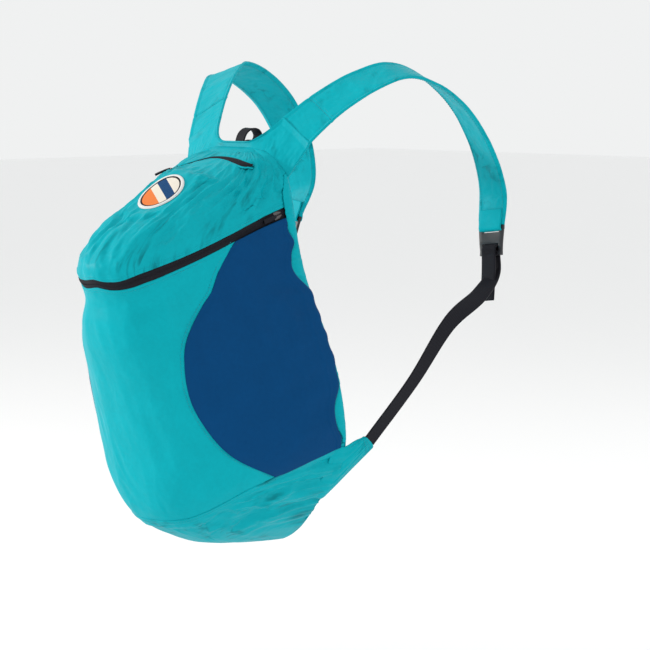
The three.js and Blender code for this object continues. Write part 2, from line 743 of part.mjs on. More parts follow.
function cornerTab() {
  const root = (a) => seamPoint(tabTopDown + a * (tabFootDown - tabTopDown));
  const end = (a) => tabTip.clone().addScaledVector(webAside, (a - 0.5) * tabWidth);
  const grid = counted(6, (a) =>
    counted(5, (b) => {
      const point = root(a).lerp(end(a), b);
      const puff = Math.sin(Math.PI * a) * Math.sin(Math.PI * b);
      return point.add(new THREE.Vector3(0.13 * tabWidth * puff, 0, 0));
    }),
  );
  return thickened(grid, (i, j) => ((0.55 + 0.45 * (j / 5)) * tabThickness) / 2);
}

const strapEnd = bandStop(strapStops, strapLine, 1);
const lockFace = strapEnd.aside.clone().cross(strapEnd.along).negate().normalize();

// A place in the ladder lock's own frame: along the strap's line, and out from the wearer's chest.
const lockPoint = (along, out) =>
  strapEnd.middle.clone().addScaledVector(strapEnd.along, seamGap + along).addScaledVector(lockFace, out);

function ladderLock() {
  const shape = new THREE.Shape();
  const half = lockWidth / 2;
  shape.moveTo(-half, 0).lineTo(half, 0).lineTo(half * 0.84, lockLength).lineTo(-half * 0.84, lockLength).closePath();
  const slot = new THREE.Path();
  const reach = webWidth / 2 + 2.5 * seamGap;
  const low = lockLength * 0.52;
  const high = lockLength * 0.8;
  slot.moveTo(-reach, low).lineTo(-reach, high).lineTo(reach, high).lineTo(reach, low).closePath();
  shape.holes.push(slot);
  const plate = new THREE.ExtrudeGeometry(shape, { depth: lockThickness, bevelEnabled: false });
  plate.translate(0, 0, -lockThickness / 2);
  const turned = new THREE.Matrix4().makeBasis(
    strapEnd.aside,
    strapEnd.along,
    strapEnd.aside.clone().cross(strapEnd.along).normalize(),
  );
  return plate.applyMatrix4(turned.setPosition(lockPoint(0, 0)));
}

// The webbing leaves the tab, passes the wearer's side, threads the ladder lock from behind and hangs free.
function webbing() {
  const start = tabTip.clone().addScaledVector(webDirection, tabThickness * 0.5 + 2 * seamGap);
  const flank = new THREE.Vector3(flankSpread / 2, flankForward, -flankDrop);
  const clear = lockThickness / 2 + webThickness;
  const under = lockPoint(lockLength * 1.47, -1.3 * clear);
  const between = (from, to, share, bulge) => from.clone().lerp(to, share).add(new THREE.Vector3(bulge, 0, 0));
  const across = strapEnd.aside.toArray();
  const stop = (middle, aside) => ({ middle, aside: new THREE.Vector3(...aside).normalize(), width: webWidth });
  return band(
    [
      stop(start, webAside.toArray()),
      stop(between(start, flank, 0.5, 0.25 * webWidth), [-0.15, 0.8, -0.56]),
      stop(flank, [0.15, 0.72, -0.62]),
      stop(between(flank, under, 0.55, 0.5 * webWidth), [0.7, 0.35, -0.5]),
      stop(under, across),
      stop(lockPoint(lockLength, -clear), across),
      stop(lockPoint(lockLength * 0.78, -clear), across),
      stop(lockPoint(lockLength * 0.64, 0), across),
      stop(lockPoint(lockLength * 0.78, clear), across),
      stop(lockPoint(lockLength, clear), across),
      stop(lockPoint(lockLength + 0.4 * webTail, 0.9 * clear), across),
      stop(lockPoint(lockLength + webTail, 1.3 * clear), across),
    ],
    webThickness,
    44,
  );
}

// The hang loop is folded webbing, both ends sewn to the top seam behind the yoke.
function hangLoop() {
  const behind = backAt(hemHeight / bagHeight) + 4 * seamGap + cloth + loopThickness / 2;
  const foot = heightAt(0) - hemHeight;
  const rise = loopReach * 0.62;
  const path = [
    [0, 0],
    [loopReach * 0.02, 0.55 * rise],
    [loopReach * 0.19, rise + hemHeight * 0.7],
    [loopReach * 0.48, rise + hemHeight + loopOpening / 3],
    [loopReach * 0.82, rise + hemHeight + loopOpening / 6],
    [loopReach * 0.945, rise + hemHeight - loopOpening * 0.45],
    [loopReach * 0.82, rise + hemHeight - loopOpening],
    [loopReach * 0.56, rise + hemHeight - loopOpening * 0.94],
    [loopOpening, 0.55 * rise],
    [loopThickness * 2, 0],
  ].map(([y, z]) => ({
    middle: new THREE.Vector3(0, behind + y, foot + z),
    aside: new THREE.Vector3(1, 0, 0),
    width: loopWidth,
  }));
  return band(path, loopThickness, 20);
}

// Zip sliders

// A small frame standing on the skin, with its second axis running down the seam line.
function standOn(turn, level, towards) {
  const foot = skin(turn, level);
  const outward = outwardOf(skin, turn, level);
  const along = towards.clone().sub(foot);
  along.addScaledVector(outward, -along.dot(outward)).normalize();
  const aside = along.clone().cross(outward).normalize();
  return new THREE.Matrix4().makeBasis(aside, along, outward).setPosition(foot);
}

function slider(place) {
  const shape = new THREE.Shape();
  const half = sliderWidth / 2;
  const nose = half * 0.55;
  shape.moveTo(-nose, 0).lineTo(nose, 0).lineTo(half, sliderLength * 0.45).lineTo(half, sliderLength);
  shape.lineTo(-half, sliderLength).lineTo(-half, sliderLength * 0.45).closePath();
  const body = new THREE.ExtrudeGeometry(shape, { depth: sliderHeight * 0.6, bevelEnabled: false });
  const bridge = new THREE.BoxGeometry(half * 0.5, sliderLength * 0.7, sliderHeight * 0.5);
  bridge.translate(0, sliderLength * 0.5, sliderHeight * 0.75);
  const whole = solidFrom(body.translate(0, 0, seamGap)).add(solidFrom(bridge));
  return geometryFrom(whole).applyMatrix4(place);
}

// The pull lies on the tape beyond the slider, its ring ahead of the bridge.
function pull(place) {
  const shape = new THREE.Shape();
  const half = pullWidth / 2;
  shape.moveTo(-half * 0.7, 0).lineTo(half * 0.7, 0).lineTo(half, pullLength * 0.25).lineTo(half, pullLength);
  shape.lineTo(-half, pullLength).lineTo(-half, pullLength * 0.25).closePath();
  const tab = new THREE.ExtrudeGeometry(shape, { depth: pullThickness, bevelEnabled: false });
  tab.translate(0, sliderLength + seamGap, seamGap * 2.5);
  return tab.applyMatrix4(place);
}

const mainSliderTurn = 3.5;
const mainSliderPlace = standOn(
  mainSliderTurn,
  levelOf(seamDown(zipLine, mainSliderTurn)),
  skin(mainSliderTurn + 8, levelOf(seamDown(zipLine, mainSliderTurn + 8))),
);
const slitPoint = (a) => [smoothThrough(column(slitLine, "turn"), a), levelOf(smoothThrough(column(slitLine, "down"), a))];
const topSliderPlace = standOn(...slitPoint(0.74), skin(...slitPoint(0.9)));

// The whole daypack

const daypack = new THREE.Group();

function place(name, geometry, colour) {
  const mesh = new THREE.Mesh(geometry, colour);
  mesh.name = name;
  daypack.add(mesh);
}

function placePair(name, geometry, colour) {
  place(`${name}_right`, geometry, colour);
  place(`${name}_left`, mirrored(geometry), colour);
}

// Gives an extruded shape the shared corners and index that a mirrored copy needs.
const indexed = (geometry) => geometryFrom(solidFrom(geometry));

place("back_panel", backPanel(), turquoise);
place("front_panel", frontPanel(), turquoise);
placePair("side_panel", sidePanel(), turquoise);
placePair("side_pocket", sidePocket(), navy);
place("base_panel", basePanel(), turquoise);
place("lid_panel", lidPanel(), turquoise);
placePair("side_edging", edging(), turquoise);
place("yoke", yoke(), turquoise);
placePair("shoulder_strap", shoulderStrap(), turquoise);
placePair("corner_tab", cornerTab(), turquoise);
placePair("webbing", webbing(), blackTape);
placePair("ladder_lock", indexed(ladderLock()), blackPlastic);
place("hang_loop", hangLoop(), blackTape);
place("main_zip", mainZip(), blackTape);
place("main_zip_slider", slider(mainSliderPlace), nickel);
place("main_zip_pull", pull(mainSliderPlace), blackTape);
place("top_zip", topZip(), blackTape);
place("top_zip_slider", slider(topSliderPlace), blackPlastic);
place("top_zip_pull", pull(topSliderPlace), blackTape);
place("patch", roundPatch(), patchThread);

export default daypack;
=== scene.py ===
import math
from bisect import bisect_right
from functools import lru_cache

import bmesh
import bpy
from bpy.props import FloatProperty, FloatVectorProperty, PointerProperty
from mathutils import Matrix, Vector, noise


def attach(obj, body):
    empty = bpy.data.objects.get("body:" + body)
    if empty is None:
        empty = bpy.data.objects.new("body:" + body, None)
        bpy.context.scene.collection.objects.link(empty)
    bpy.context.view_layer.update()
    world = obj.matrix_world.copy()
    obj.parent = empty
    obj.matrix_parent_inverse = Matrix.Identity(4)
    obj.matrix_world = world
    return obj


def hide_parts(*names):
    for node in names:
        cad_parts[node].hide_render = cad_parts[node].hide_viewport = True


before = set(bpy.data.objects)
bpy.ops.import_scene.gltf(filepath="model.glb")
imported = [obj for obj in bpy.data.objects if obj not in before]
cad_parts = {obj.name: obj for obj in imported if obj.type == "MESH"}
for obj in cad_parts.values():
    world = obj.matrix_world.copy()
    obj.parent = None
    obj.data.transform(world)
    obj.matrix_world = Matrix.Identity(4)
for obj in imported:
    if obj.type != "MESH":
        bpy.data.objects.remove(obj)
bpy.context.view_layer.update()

bl_info = {
    "name": "Packable daypack",
    "version": (1, 0, 0),
    "blender": (4, 5, 0),
    "location": "View3D > Sidebar > Daypack",
    "description": "Sews the cloth, zips, straps and patch of a thin nylon daypack over its plain solids",
    "category": "Object",
}

# Level cuts through the bag, from the top seam to the foot: how far down, half width, depth and squareness.
# The first three are shares of the bag's height, half its width and its depth.
SECTIONS = [
    (0.0, 0.2, 0.01, 2.6),
    (0.01, 0.36, 0.1, 2.6),
    (0.031, 0.47, 0.21, 2.6),
    (0.065, 0.565, 0.365, 2.6),
    (0.108, 0.593, 0.548, 2.6),
    (0.158, 0.61, 0.746, 2.5),
    (0.22, 0.626, 0.914, 2.4),
    (0.284, 0.66, 0.995, 2.3),
    (0.336, 0.707, 0.962, 2.3),
    (0.37, 0.752, 0.945, 2.3),
    (0.42, 0.82, 0.963, 2.3),
    (0.48, 0.888, 0.949, 2.3),
    (0.568, 0.967, 0.898, 2.3),
    (0.66, 1.0, 0.863, 2.3),
    (0.736, 0.984, 0.84, 2.35),
    (0.8, 0.89, 0.828, 2.5),
    (0.85, 0.76, 0.81, 2.65),
    (0.89, 0.62, 0.785, 2.8),
    (0.93, 0.5, 0.735, 2.8),
    (0.962, 0.39, 0.65, 2.7),
    (0.985, 0.28, 0.5, 2.6),
    (0.997, 0.2, 0.28, 2.5),
    (1.0, 0.16, 0.01, 2.5),
]

# Seams that run round the bag: degrees from the right back seam, and how far down as a share of the height.
ZIP_LINE = [(0, 0.145), (12, 0.177), (24, 0.215), (36, 0.25), (48, 0.279),
            (60, 0.301), (70, 0.316), (80, 0.322), (90, 0.317)]
BASE_LINE = [(0, 0.725), (11, 0.759), (20, 0.788), (27, 0.812), (35, 0.838),
             (43, 0.868), (51, 0.889), (61, 0.904), (78, 0.913), (90, 0.915)]
POCKET_SEAM = [(21, 0.235), (29, 0.3), (42, 0.39), (52, 0.485), (56.5, 0.575), (54, 0.655), (44, 0.738),
               (23, 0.8)]

# The top pocket's slit from right to left: degrees, how far down, and its width as a share of the widest.
SLIT_LINE = [(31, 0.034, 0.3), (41, 0.032, 0.95), (56, 0.025, 1.0), (74, 0.019, 0.75),
             (90, 0.018, 0.5), (98, 0.026, 0.34), (106, 0.037, 0.34), (113, 0.046, 0.36),
             (118, 0.057, 0.34), (121, 0.069, 0.28)]

# The width of the side edging down the back seam: how far down, and its width as a share of the widest.
EDGING_ROWS = [(0.065, 0.3), (0.1, 0.65), (0.15, 0.7), (0.2, 0.65), (0.23, 0.47),
               (0.26, 0.82), (0.295, 1.0), (0.355, 0.35), (0.425, 0.47), (0.485, 0.35),
               (0.54, 0.2), (0.59, 0.3), (0.64, 0.82), (0.675, 0.76), (0.71, 0.3)]

# How far the pocket's open edge stands off, down its length.
POCKET_MOUTH = [0.05, 0.35, 0.3, 0.6, 0.8, 0.9, 1.0, 0.75, 0.35, 0.3, 0.05]

# Main folds: from turn and down, to turn and down, with their width and rise in millimetres.
FOLDS = [
    (56, 0.155, 62, 0.285, 9, -4.5),
    (47, 0.16, 50, 0.265, 8, 2.5),
    (84, 0.165, 80, 0.3, 8, -3),
    (98, 0.15, 100, 0.3, 10, -4),
    (112, 0.15, 118, 0.29, 9, 3),
    (128, 0.14, 134, 0.26, 8, -3.5),
    (14, 0.08, 12, 0.15, 7, -2.5),
    (166, 0.08, 168, 0.15, 7, -2.5),
    (4, 0.775, 40, 0.9, 8, -3.5),
    (6, 0.83, 38, 0.945, 8, -3),
    (176, 0.775, 140, 0.9, 8, -3.5),
    (174, 0.83, 142, 0.945, 8, -3),
]

# The right strap: out, along, drop, sweep, lean and width. Behind the shoulders along and drop are shares of
# the reach and drop to the bag, and ahead of them they are shares of the reach and drop to the chest.
STRAP_BEHIND = [
    (0.42, 0.985, 1.04, 0.0, 0.5, 1.16),
    (0.52, 0.84, 0.8, -0.05, 0.5, 1.06),
    (0.69, 0.56, 0.4, -0.15, 0.45, 1.0),
    (0.86, 0.27, 0.11, -0.22, 0.38, 1.0),
    (1.0, 0.0, -0.022, -0.28, 0.32, 1.0),
]
STRAP_AHEAD = [
    (1.05, 0.3, 0.05, -0.3, 0.25, 1.0),
    (1.08, 0.62, 0.22, -0.3, 0.18, 0.98),
    (1.11, 0.87, 0.49, -0.25, 0.1, 0.94),
    (1.14, 0.98, 0.77, -0.1, 0.1, 0.85),
    (1.18, 0.93, 1.0, 0.1, 0.15, 0.65),
]

MM = 0.001
HALF_TURN = 180.0
CREASE_SEED = 5
PATCH_DOWN = 0.1  # the patch's centre, as a share of the bag's height
YOKE_REACH = 0.13  # how much of the strap's line is cut in one with the yoke
YOKE_CORNER = 0.07  # the yoke's outer corners, as a share of the bag's height
YOKE_FLAT = 0.3  # how much of the yoke's seat lies on the flat top seam
TAB_TOP, TAB_FOOT = 0.736, 0.874  # where the corner tab leaves the back seam
TAB_OVERLAP = 0.24  # how much of the tab lies on the base panel
SEAM_INSET = 3.3 * MM  # from a seam to its topstitching
MAIN_SLIDER_TURN = 3.5  # where the main zip's slider stands, in degrees
LID_MAP, BASE_MAP = (0.40, 0.19), (0.46, 0.13)  # the sizes of the lid's and the base's maps in metres
FLOOR_LEVEL = -0.62


def length(name, description, default):
    return FloatProperty(name=name, description=description, default=default, min=0.0, unit="LENGTH")


def tint(name, description, default):
    return FloatVectorProperty(name=name, description=description, default=default, subtype="COLOR", size=3,
                               min=0.0, max=1.0)


class DaypackSizes(bpy.types.PropertyGroup):
    bag_height: length("Bag height", "From the top seam to the foot", 0.387)
    bag_width: length("Bag width", "Across the back at its widest", 0.246)
    bag_depth: length("Bag depth", "At its deepest, above the main zip", 0.197)
    shoulder_drop: length("Shoulder drop", "From the shoulders down to the top seam", 0.075)
    shoulder_reach: length("Shoulder reach", "From the shoulders back to the top seam", 0.104)
    back_lean: length("Back lean", "How much nearer the wearer the foot is than the top", 0.042)
    back_swell: length("Back swell", "How far the back panel swells towards the wearer", 0.009)
    cloth: length("Cloth", "Wall of the visible cloth with its lining", 0.0011)
    zip_width: length("Zip width", "Black tape of the main zip", 0.009)
    slit_width: length("Slit width", "Top pocket's slit at its widest", 0.010)
    edging_width: length("Edging width", "Side edging at its widest", 0.017)
    pocket_lift: length("Pocket lift", "How far the pocket's open edge stands off", 0.009)
    patch_diameter: length("Patch diameter", "Round patch on the lid", 0.050)
    strap_spread: length("Strap spread", "Between the straps on the shoulders", 0.244)
    strap_width: length("Strap width", "Shoulder strap at its widest", 0.046)
    chest_reach: length("Chest reach", "From the shoulders forward to the strap's end", 0.118)
    chest_drop: length("Chest drop", "From the shoulders down to the strap's end", 0.152)
    web_width: length("Webbing width", "Adjusting webbing", 0.016)
    web_thickness: length("Webbing thickness", "Adjusting webbing", 0.0016)
    web_tail: length("Webbing tail", "From the ladder lock to the free end", 0.046)
    hem_height: length("Hem height", "Rolled hem between the straps", 0.006)
    tab_reach: length("Tab reach", "From the back seam to the corner tab's end", 0.027)
    tab_width: length("Tab width", "Corner tab at its end", 0.019)
    flank_spread: length("Flank spread", "Between the webbings at the wearer's sides", 0.330)
    flank_forward: length("Flank forward", "From the shoulders forward to that place", 0.028)
    flank_drop: length("Flank drop", "From the shoulders down to that place", 0.243)
    lock_length: length("Lock length", "Ladder lock along the strap", 0.030)
    lock_width: length("Lock width", "Ladder lock at its upper bar", 0.030)
    lock_thickness: length("Lock thickness", "Ladder lock at its lip", 0.005)
    loop_reach: length("Hang loop reach", "From the top seam to the loop's far end", 0.027)
    loop_opening: length("Hang loop opening", "Gap for a hook", 0.009)
    loop_width: length("Hang loop width", "Webbing of the hang loop", 0.012)
    slider_length: length("Slider length", "Main zip slider", 0.010)
    pull_length: length("Pull length", "Zip pull", 0.016)
    pull_width: length("Pull width", "Zip pull at its widest", 0.0045)
    stitch: length("Stitch", "One stitch and the gap after it", 0.0028)


class DaypackColours(bpy.types.PropertyGroup):
    turquoise: tint("Turquoise", "Main cloth", (0.002, 0.39, 0.455))
    navy: tint("Navy", "Side pocket cloth", (0.002, 0.056, 0.175))
    black: tint("Black", "Webbing, tape and plastic", (0.009, 0.009, 0.013))
    metal: tint("Slider metal", "Main zip slider", (0.13, 0.12, 0.12))
    cream: tint("Patch cream", "Patch ground", (0.83, 0.77, 0.66))
    orange: tint("Patch orange", "Patch accent", (0.85, 0.22, 0.05))


# Smooth values

def smooth_through(values, share):
    """A smooth line through evenly spaced values, read from 0 to 1."""
    last = len(values) - 1
    place = min(max(share, 0.0), 1.0) * last
    i = min(last - 1, int(place))
    f = place - i
    b, c = values[i], values[i + 1]
    a = values[i - 1] if i > 0 else 2 * b - c
    d = values[i + 2] if i < last - 1 else 2 * c - b
    return 0.5 * (2 * b + (c - a) * f + (2 * a - 5 * b + 4 * c - d) * f * f
                  + (3 * b - a - 3 * c + d) * f ** 3)


def column(rows, index):
    return [row[index] for row in rows]


class Graph:
    """A table's column, read smoothly by the table's first column."""
    steps = 800

    def __init__(self, rows, index=1):
        keys, values = column(rows, 0), column(rows, index)
        self.low, self.high = keys[0], keys[-1]
        self.samples = []
        for number in range(self.steps + 1):
            key = self.low + (self.high - self.low) * number / self.steps
            i = min(len(keys) - 2, bisect_right(keys, key) - 1)
            share = (key - keys[i]) / (keys[i + 1] - keys[i])
            self.samples.append(smooth_through(values, (i + share) / (len(keys) - 1)))

    def at(self, key):
        place = min(max((key - self.low) / (self.high - self.low), 0.0), 1.0) * self.steps
        i = min(self.steps - 1, int(place))
        return self.samples[i] + (self.samples[i + 1] - self.samples[i]) * (place - i)


def dip(distance, width):
    """A soft bump, 1 at a distance of 0 and gone at twice the width."""
    return math.exp(-((distance / width) ** 2))


def flipped(vector, side):
    """The vector itself on the right side, 1, and its mirror image on the left, -1."""
    return Vector((side * vector.x, vector.y, vector.z))


def mirrored_name(name, side):
    return name + ("_right" if side > 0 else "_left")


def ease(low, high, value):
    """From 0 at low to 1 at high, with a soft start and end."""
    share = min(max((value - low) / (high - low), 0.0), 1.0)
    return share * share * (3 - 2 * share)


def blend_four(top, foot, right, left, a, b):
    """A place inside four joined seams, each a function from 0 to 1 that gives turn and level."""
    corners = (top(0), top(1), foot(0), foot(1))
    return [
        (1 - b) * top(a)[k] + b * foot(a)[k] + (1 - a) * right(b)[k] + a * left(b)[k]
        - (1 - a) * (1 - b) * corners[0][k] - a * (1 - b) * corners[1][k]
        - (1 - a) * b * corners[2][k] - a * b * corners[3][k]
        for k in (0, 1)
    ]


ZIP_DOWN = Graph(ZIP_LINE)
BASE_DOWN = Graph(BASE_LINE)
SLIT_DOWN = Graph(SLIT_LINE)
SLIT_WIDE = Graph(SLIT_LINE, 2)
EDGING_WIDE = Graph(EDGING_ROWS)


class Skin:
    """The bag's outer face.

    It is read by degrees of turn from the right back seam and by level down the sections.
    """
    steps = 2000

    def __init__(self, sizes):
        noise.seed_set(CREASE_SEED)  # the bent noise of the creases would differ in every run without it
        self.s = sizes
        self.tables = [[smooth_through(column(SECTIONS, i), n / self.steps) for n in range(self.steps + 1)]
                       for i in range(4)]
        self.folds = []
        for turn, down, to_turn, to_down, wide, rise in FOLDS:
            start, end = self.plain(turn, self.level(down)), self.plain(to_turn, self.level(to_down))
            self.folds.append((start, end - start, wide * MM, rise * MM))

    def read(self, index, level):
        table = self.tables[index]
        place = min(max(level, 0.0), 1.0) * self.steps
        i = min(self.steps - 1, int(place))
        return table[i] + (table[i + 1] - table[i]) * (place - i)

    def level(self, down):
        table = self.tables[0]
        i = min(self.steps - 1, max(0, bisect_right(table, down) - 1))
        return (i + (down - table[i]) / (table[i + 1] - table[i])) / self.steps

    def back(self, down):
        return -self.s.shoulder_reach + self.s.back_lean * down

    def height(self, down):
        return -self.s.shoulder_drop - self.s.bag_height * down

    def plain(self, turn, level):
        power = 2 / self.read(3, level)
        across, forward = math.cos(math.radians(turn)), math.sin(math.radians(turn))
        down = self.read(0, level)
        x = self.read(1, level) * self.s.bag_width * 0.5 * math.copysign(abs(across) ** power, across)
        y = self.back(down) - self.read(2, level) * self.s.bag_depth * abs(forward) ** power
        return Vector((x, y, self.height(down)))

    def outward(self, turn, level):
        step = 0.002
        side = step * HALF_TURN
        round_it = self.plain(min(turn + side, HALF_TURN), level) - self.plain(max(turn - side, 0.0), level)
        downwards = self.plain(turn, min(level + step, 1.0)) - self.plain(turn, max(level - step, 0.0))
        return round_it.cross(downwards).normalized()

    def fold_rise(self, point):
        rise = 0.0
        for start, run, wide, high in self.folds:
            along = min(max((point - start).dot(run) / run.length_squared, 0.0), 1.0)
            away = (start + run * along - point).length
            if away < 3 * wide:
                rise += high * dip(away, wide) * math.sin(math.pi * (0.12 + 0.76 * along))
        return rise

    def at(self, turn, level, lift=0.0):
        point = self.plain(turn, level)
        return point + self.outward(turn, level) * (self.fold_rise(point) + lift)

    def seat(self, turn, level, lift, side=1):
        """A point on the skin and the way out from it, as a stitch needs them."""
        return flipped(self.at(turn, level, lift), side), flipped(self.outward(turn, level), side)

    def away(self, turn, level, distance):
        """The level that lies a distance down the skin from another one."""
        step = 0.002
        above = self.plain(turn, max(level - step, 0.0))
        below = self.plain(turn, min(level + step, 1.0))
        return level + 2 * step * distance / (above - below).length

    def turn_at(self, level, forward):
        """The turn at which the skin lies this far forward of the back seam."""
        deep = self.read(2, level) * self.s.bag_depth
        return math.degrees(math.asin(min(1.0, (max(forward, 0.0) / deep) ** (self.read(3, level) / 2))))

    def line(self, graph, turn):
        return self.level(graph.at(min(turn, HALF_TURN - turn)))

    def beside_zip(self, turn, distance):
        step = 2.0
        start, end = max(0.0, turn - step), min(HALF_TURN, turn + step)
        along = self.plain(end, self.line(ZIP_DOWN, end)) - self.plain(start, self.line(ZIP_DOWN, start))
        climb = abs(along.z) / math.hypot(along.x, along.y)
        return self.away(turn, self.line(ZIP_DOWN, turn), distance * math.hypot(1, climb))

    def beside_base(self, turn, distance):
        return self.away(turn, self.line(BASE_DOWN, turn), distance)

    def slit(self, turn):
        """The middle level and half the width of the top pocket's slit at a turn, or at its nearer end."""
        near = min(max(turn, SLIT_LINE[0][0]), SLIT_LINE[-1][0])
        return self.level(SLIT_DOWN.at(near)), 0.5 * self.s.slit_width * SLIT_WIDE.at(near)

    def pocket_seam(self, share):
        turn = smooth_through(column(POCKET_SEAM, 0), share)
        levels = [self.level(row[1]) for row in POCKET_SEAM]
        levels[0] = self.beside_zip(POCKET_SEAM[0][0], self.s.zip_width * 0.5)
        levels[-1] = self.line(BASE_DOWN, POCKET_SEAM[-1][0])
        return turn, smooth_through(levels, share)


# Making sheets of cloth

def crowd(share, margin, part=0.12):
    """Moves evenly spaced shares so that a part of them at each end fills only a margin."""
    if share < part:
        return share / part * margin
    if share > 1 - part:
        return 1 - (1 - share) / part * margin
    return margin + (share - part) / (1 - 2 * part) * (1 - 2 * margin)


def sheet_grid(name, place, rows, columns, size, material, thickness=None, inward=True, margins=None,
               offset=-1.0):
    """A sheet from a grid. place(a, b) puts each point, a across from the right and b down from the top."""
    bm = bmesh.new()
    uv = bm.loops.layers.uv.new("cloth")
    bmesh.ops.create_grid(bm, x_segments=columns, y_segments=rows, size=0.5)
    if margins:
        for vert in bm.verts:
            vert.co.x = crowd(vert.co.x + 0.5, margins[0]) - 0.5
            vert.co.y = crowd(vert.co.y + 0.5, margins[1]) - 0.5
    for face in bm.faces:
        for loop in face.loops:
            loop[uv].uv = ((loop.vert.co.x + 0.5) * size[0], (0.5 - loop.vert.co.y) * size[1])
    for vert in bm.verts:
        vert.co = place(vert.co.x + 0.5, 0.5 - vert.co.y)
    if inward:
        bmesh.ops.reverse_faces(bm, faces=bm.faces)
    return new_piece(name, bm, material, thickness, offset)


def new_piece(name, bm, material, thickness=None, offset=-1.0):
    """A smooth piece from its mesh, with a wall behind its face if it is cloth."""
    for face in bm.faces:
        face.smooth = True
    mesh = bpy.data.meshes.new(name)
    bm.to_mesh(mesh)
    bm.free()
    mesh.materials.append(material)
    piece = put(name, mesh)
    if thickness:
        wall = piece.modifiers.new("wall", "SOLIDIFY")
        wall.thickness = thickness
        wall.offset = offset
    return piece


def put(name, data):
    """A new object in the scene."""
    item = bpy.data.objects.new(name, data)
    bpy.context.scene.collection.objects.link(item)
    return item


def axes(x, y, z, middle):
    """The matrix of a frame with these directions and this middle."""
    frame_at = Matrix((x, y, z)).transposed().to_4x4()
    frame_at.translation = middle
    return frame_at


THIN_NYLON = {
    "quality": 6, "mass": 0.05, "air_damping": 2,
    "tension_stiffness": 60, "compression_stiffness": 60, "shear_stiffness": 20, "bending_stiffness": 0.004,
    "tension_damping": 6, "compression_damping": 6, "shear_damping": 6, "bending_damping": 0.1,
}


def crumple(piece, grow, cap, loose, frames=20):
    """Lets the cloth buckle in a short simulation, as if cut a little too large for its seams.

    loose(u, v, spot) tells how free a place is, from 0 where it is sewn down to 1, by the piece's map or by
    the spot itself.
    """
    mesh = piece.data
    start = [vert.co.copy() for vert in mesh.vertices]
    free = [0.0] * len(start)
    for loop, corner in zip(mesh.loops, mesh.uv_layers["cloth"].data):
        free[loop.vertex_index] = loose(*corner.uv, start[loop.vertex_index])
    pins = piece.vertex_groups.new(name="seams")
    pins.add([index for index, share in enumerate(free) if share < 0.02], 1.0, "REPLACE")
    wall = piece.modifiers["wall"]
    wall.show_viewport = False
    cloth = piece.modifiers.new("cloth", "CLOTH")
    piece.modifiers.move(len(piece.modifiers) - 1, 0)
    for name, value in THIN_NYLON.items():
        setattr(cloth.settings, name, value)
    cloth.settings.shrink_min = -grow
    cloth.settings.vertex_group_mass = "seams"
    cloth.settings.effector_weights.gravity = 0.0
    cloth.collision_settings.use_collision = False
    cloth.collision_settings.use_self_collision = False
    cloth.point_cache.frame_start = 1
    cloth.point_cache.frame_end = frames
    scene = bpy.context.scene
    for number in range(1, frames + 1):
        scene.frame_set(number)
    settled = piece.evaluated_get(bpy.context.evaluated_depsgraph_get()).data
    moved = [vert.co.copy() for vert in settled.vertices]
    piece.modifiers.remove(cloth)
    scene.frame_set(1)
    for vert, old, new, share in zip(mesh.vertices, start, moved, free):
        step = new - old
        vert.co = old + step * share * min(1.0, cap / max(step.length, 1e-9))
    piece.vertex_groups.remove(pins)
    wall.show_viewport = True


def many(name, places, material, shape):
    """One mesh of many copies of a small shape. shape(bm) makes it, and places are the copies' matrices."""
    one = bmesh.new()
    shape(one)
    small = bpy.data.meshes.new(name + "_one")
    one.to_mesh(small)
    one.free()
    bm = bmesh.new()
    for place in places:
        small.transform(place)
        bm.from_mesh(small)
        small.transform(place.inverted())
    bpy.data.meshes.remove(small)
    return new_piece(name, bm, material)


def grain(bm):
    """One round grain, which its place's matrix draws out."""
    bmesh.ops.create_uvsphere(bm, u_segments=6, v_segments=4, radius=1.0,
                              matrix=Matrix.Rotation(math.pi / 2, 4, "Y"))


def stitches(name, paths, material, pitch):
    """Rows of thread. Each path is a list of (point, outward) pairs."""
    places = []
    for path in paths:
        left = pitch * 0.5
        for (start, out), (end, _) in zip(path, path[1:]):
            run = end - start
            far = run.length
            while left < far:
                places.append(laid(start + run * (left / far), run, out) @ Matrix.Diagonal(
                    (pitch * 0.36, 0.3 * MM, 0.26 * MM, 1.0)))
                left += pitch
            left -= far
    return many(name, places, material, grain)


def laid(middle, along, out):
    """A frame whose X runs along a line and whose Z stands out from the cloth."""
    ahead = along.normalized()
    side = out.cross(ahead).normalized()
    return axes(ahead, side, ahead.cross(side), middle)


def wear(piece, slot, *nodes):
    """Hangs a piece on the bag and hides the plain solids that it stands for. The slot is not used."""
    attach(piece, "root")
    if nodes:
        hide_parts(*nodes)
    return piece


def cut(piece):
    """Returns a sewn sheet as it is."""
    return piece


def ridged(point):
    return noise.ridged_multi_fractal(point, 0.9, 2.1, 2, 0.9, 1.6, noise_basis="PERLIN_ORIGINAL") - 0.8


def creased(spot):
    """Sharp creases between smooth hollows, from about -0.6 to 1, along the zero lines of a bent noise."""
    bent = spot + noise.noise_vector(spot * 0.55) * 0.9
    return 1.0 - 3.2 * abs(noise.noise(bent))


def wrinkle(turn, level, across, along, seed):
    """Creases in the cloth: across and along are their spacings in metres round the bag and down it."""
    return creased(Vector((math.radians(turn) * 0.13 / across, level * 0.6 / along, seed)))


# Materials

def node_group(name, inputs, outputs):
    group = bpy.data.node_groups.new(name, "ShaderNodeTree")
    for label, kind, default in inputs:
        socket = group.interface.new_socket(name=label, in_out="INPUT", socket_type=kind)
        if default is not None:
            socket.default_value = default
    for label, kind in outputs:
        group.interface.new_socket(name=label, in_out="OUTPUT", socket_type=kind)
    return group, group.nodes.new("NodeGroupInput"), group.nodes.new("NodeGroupOutput")


def settings(node, values):
    for name, value in values.items():
        node.inputs[name].default_value = value


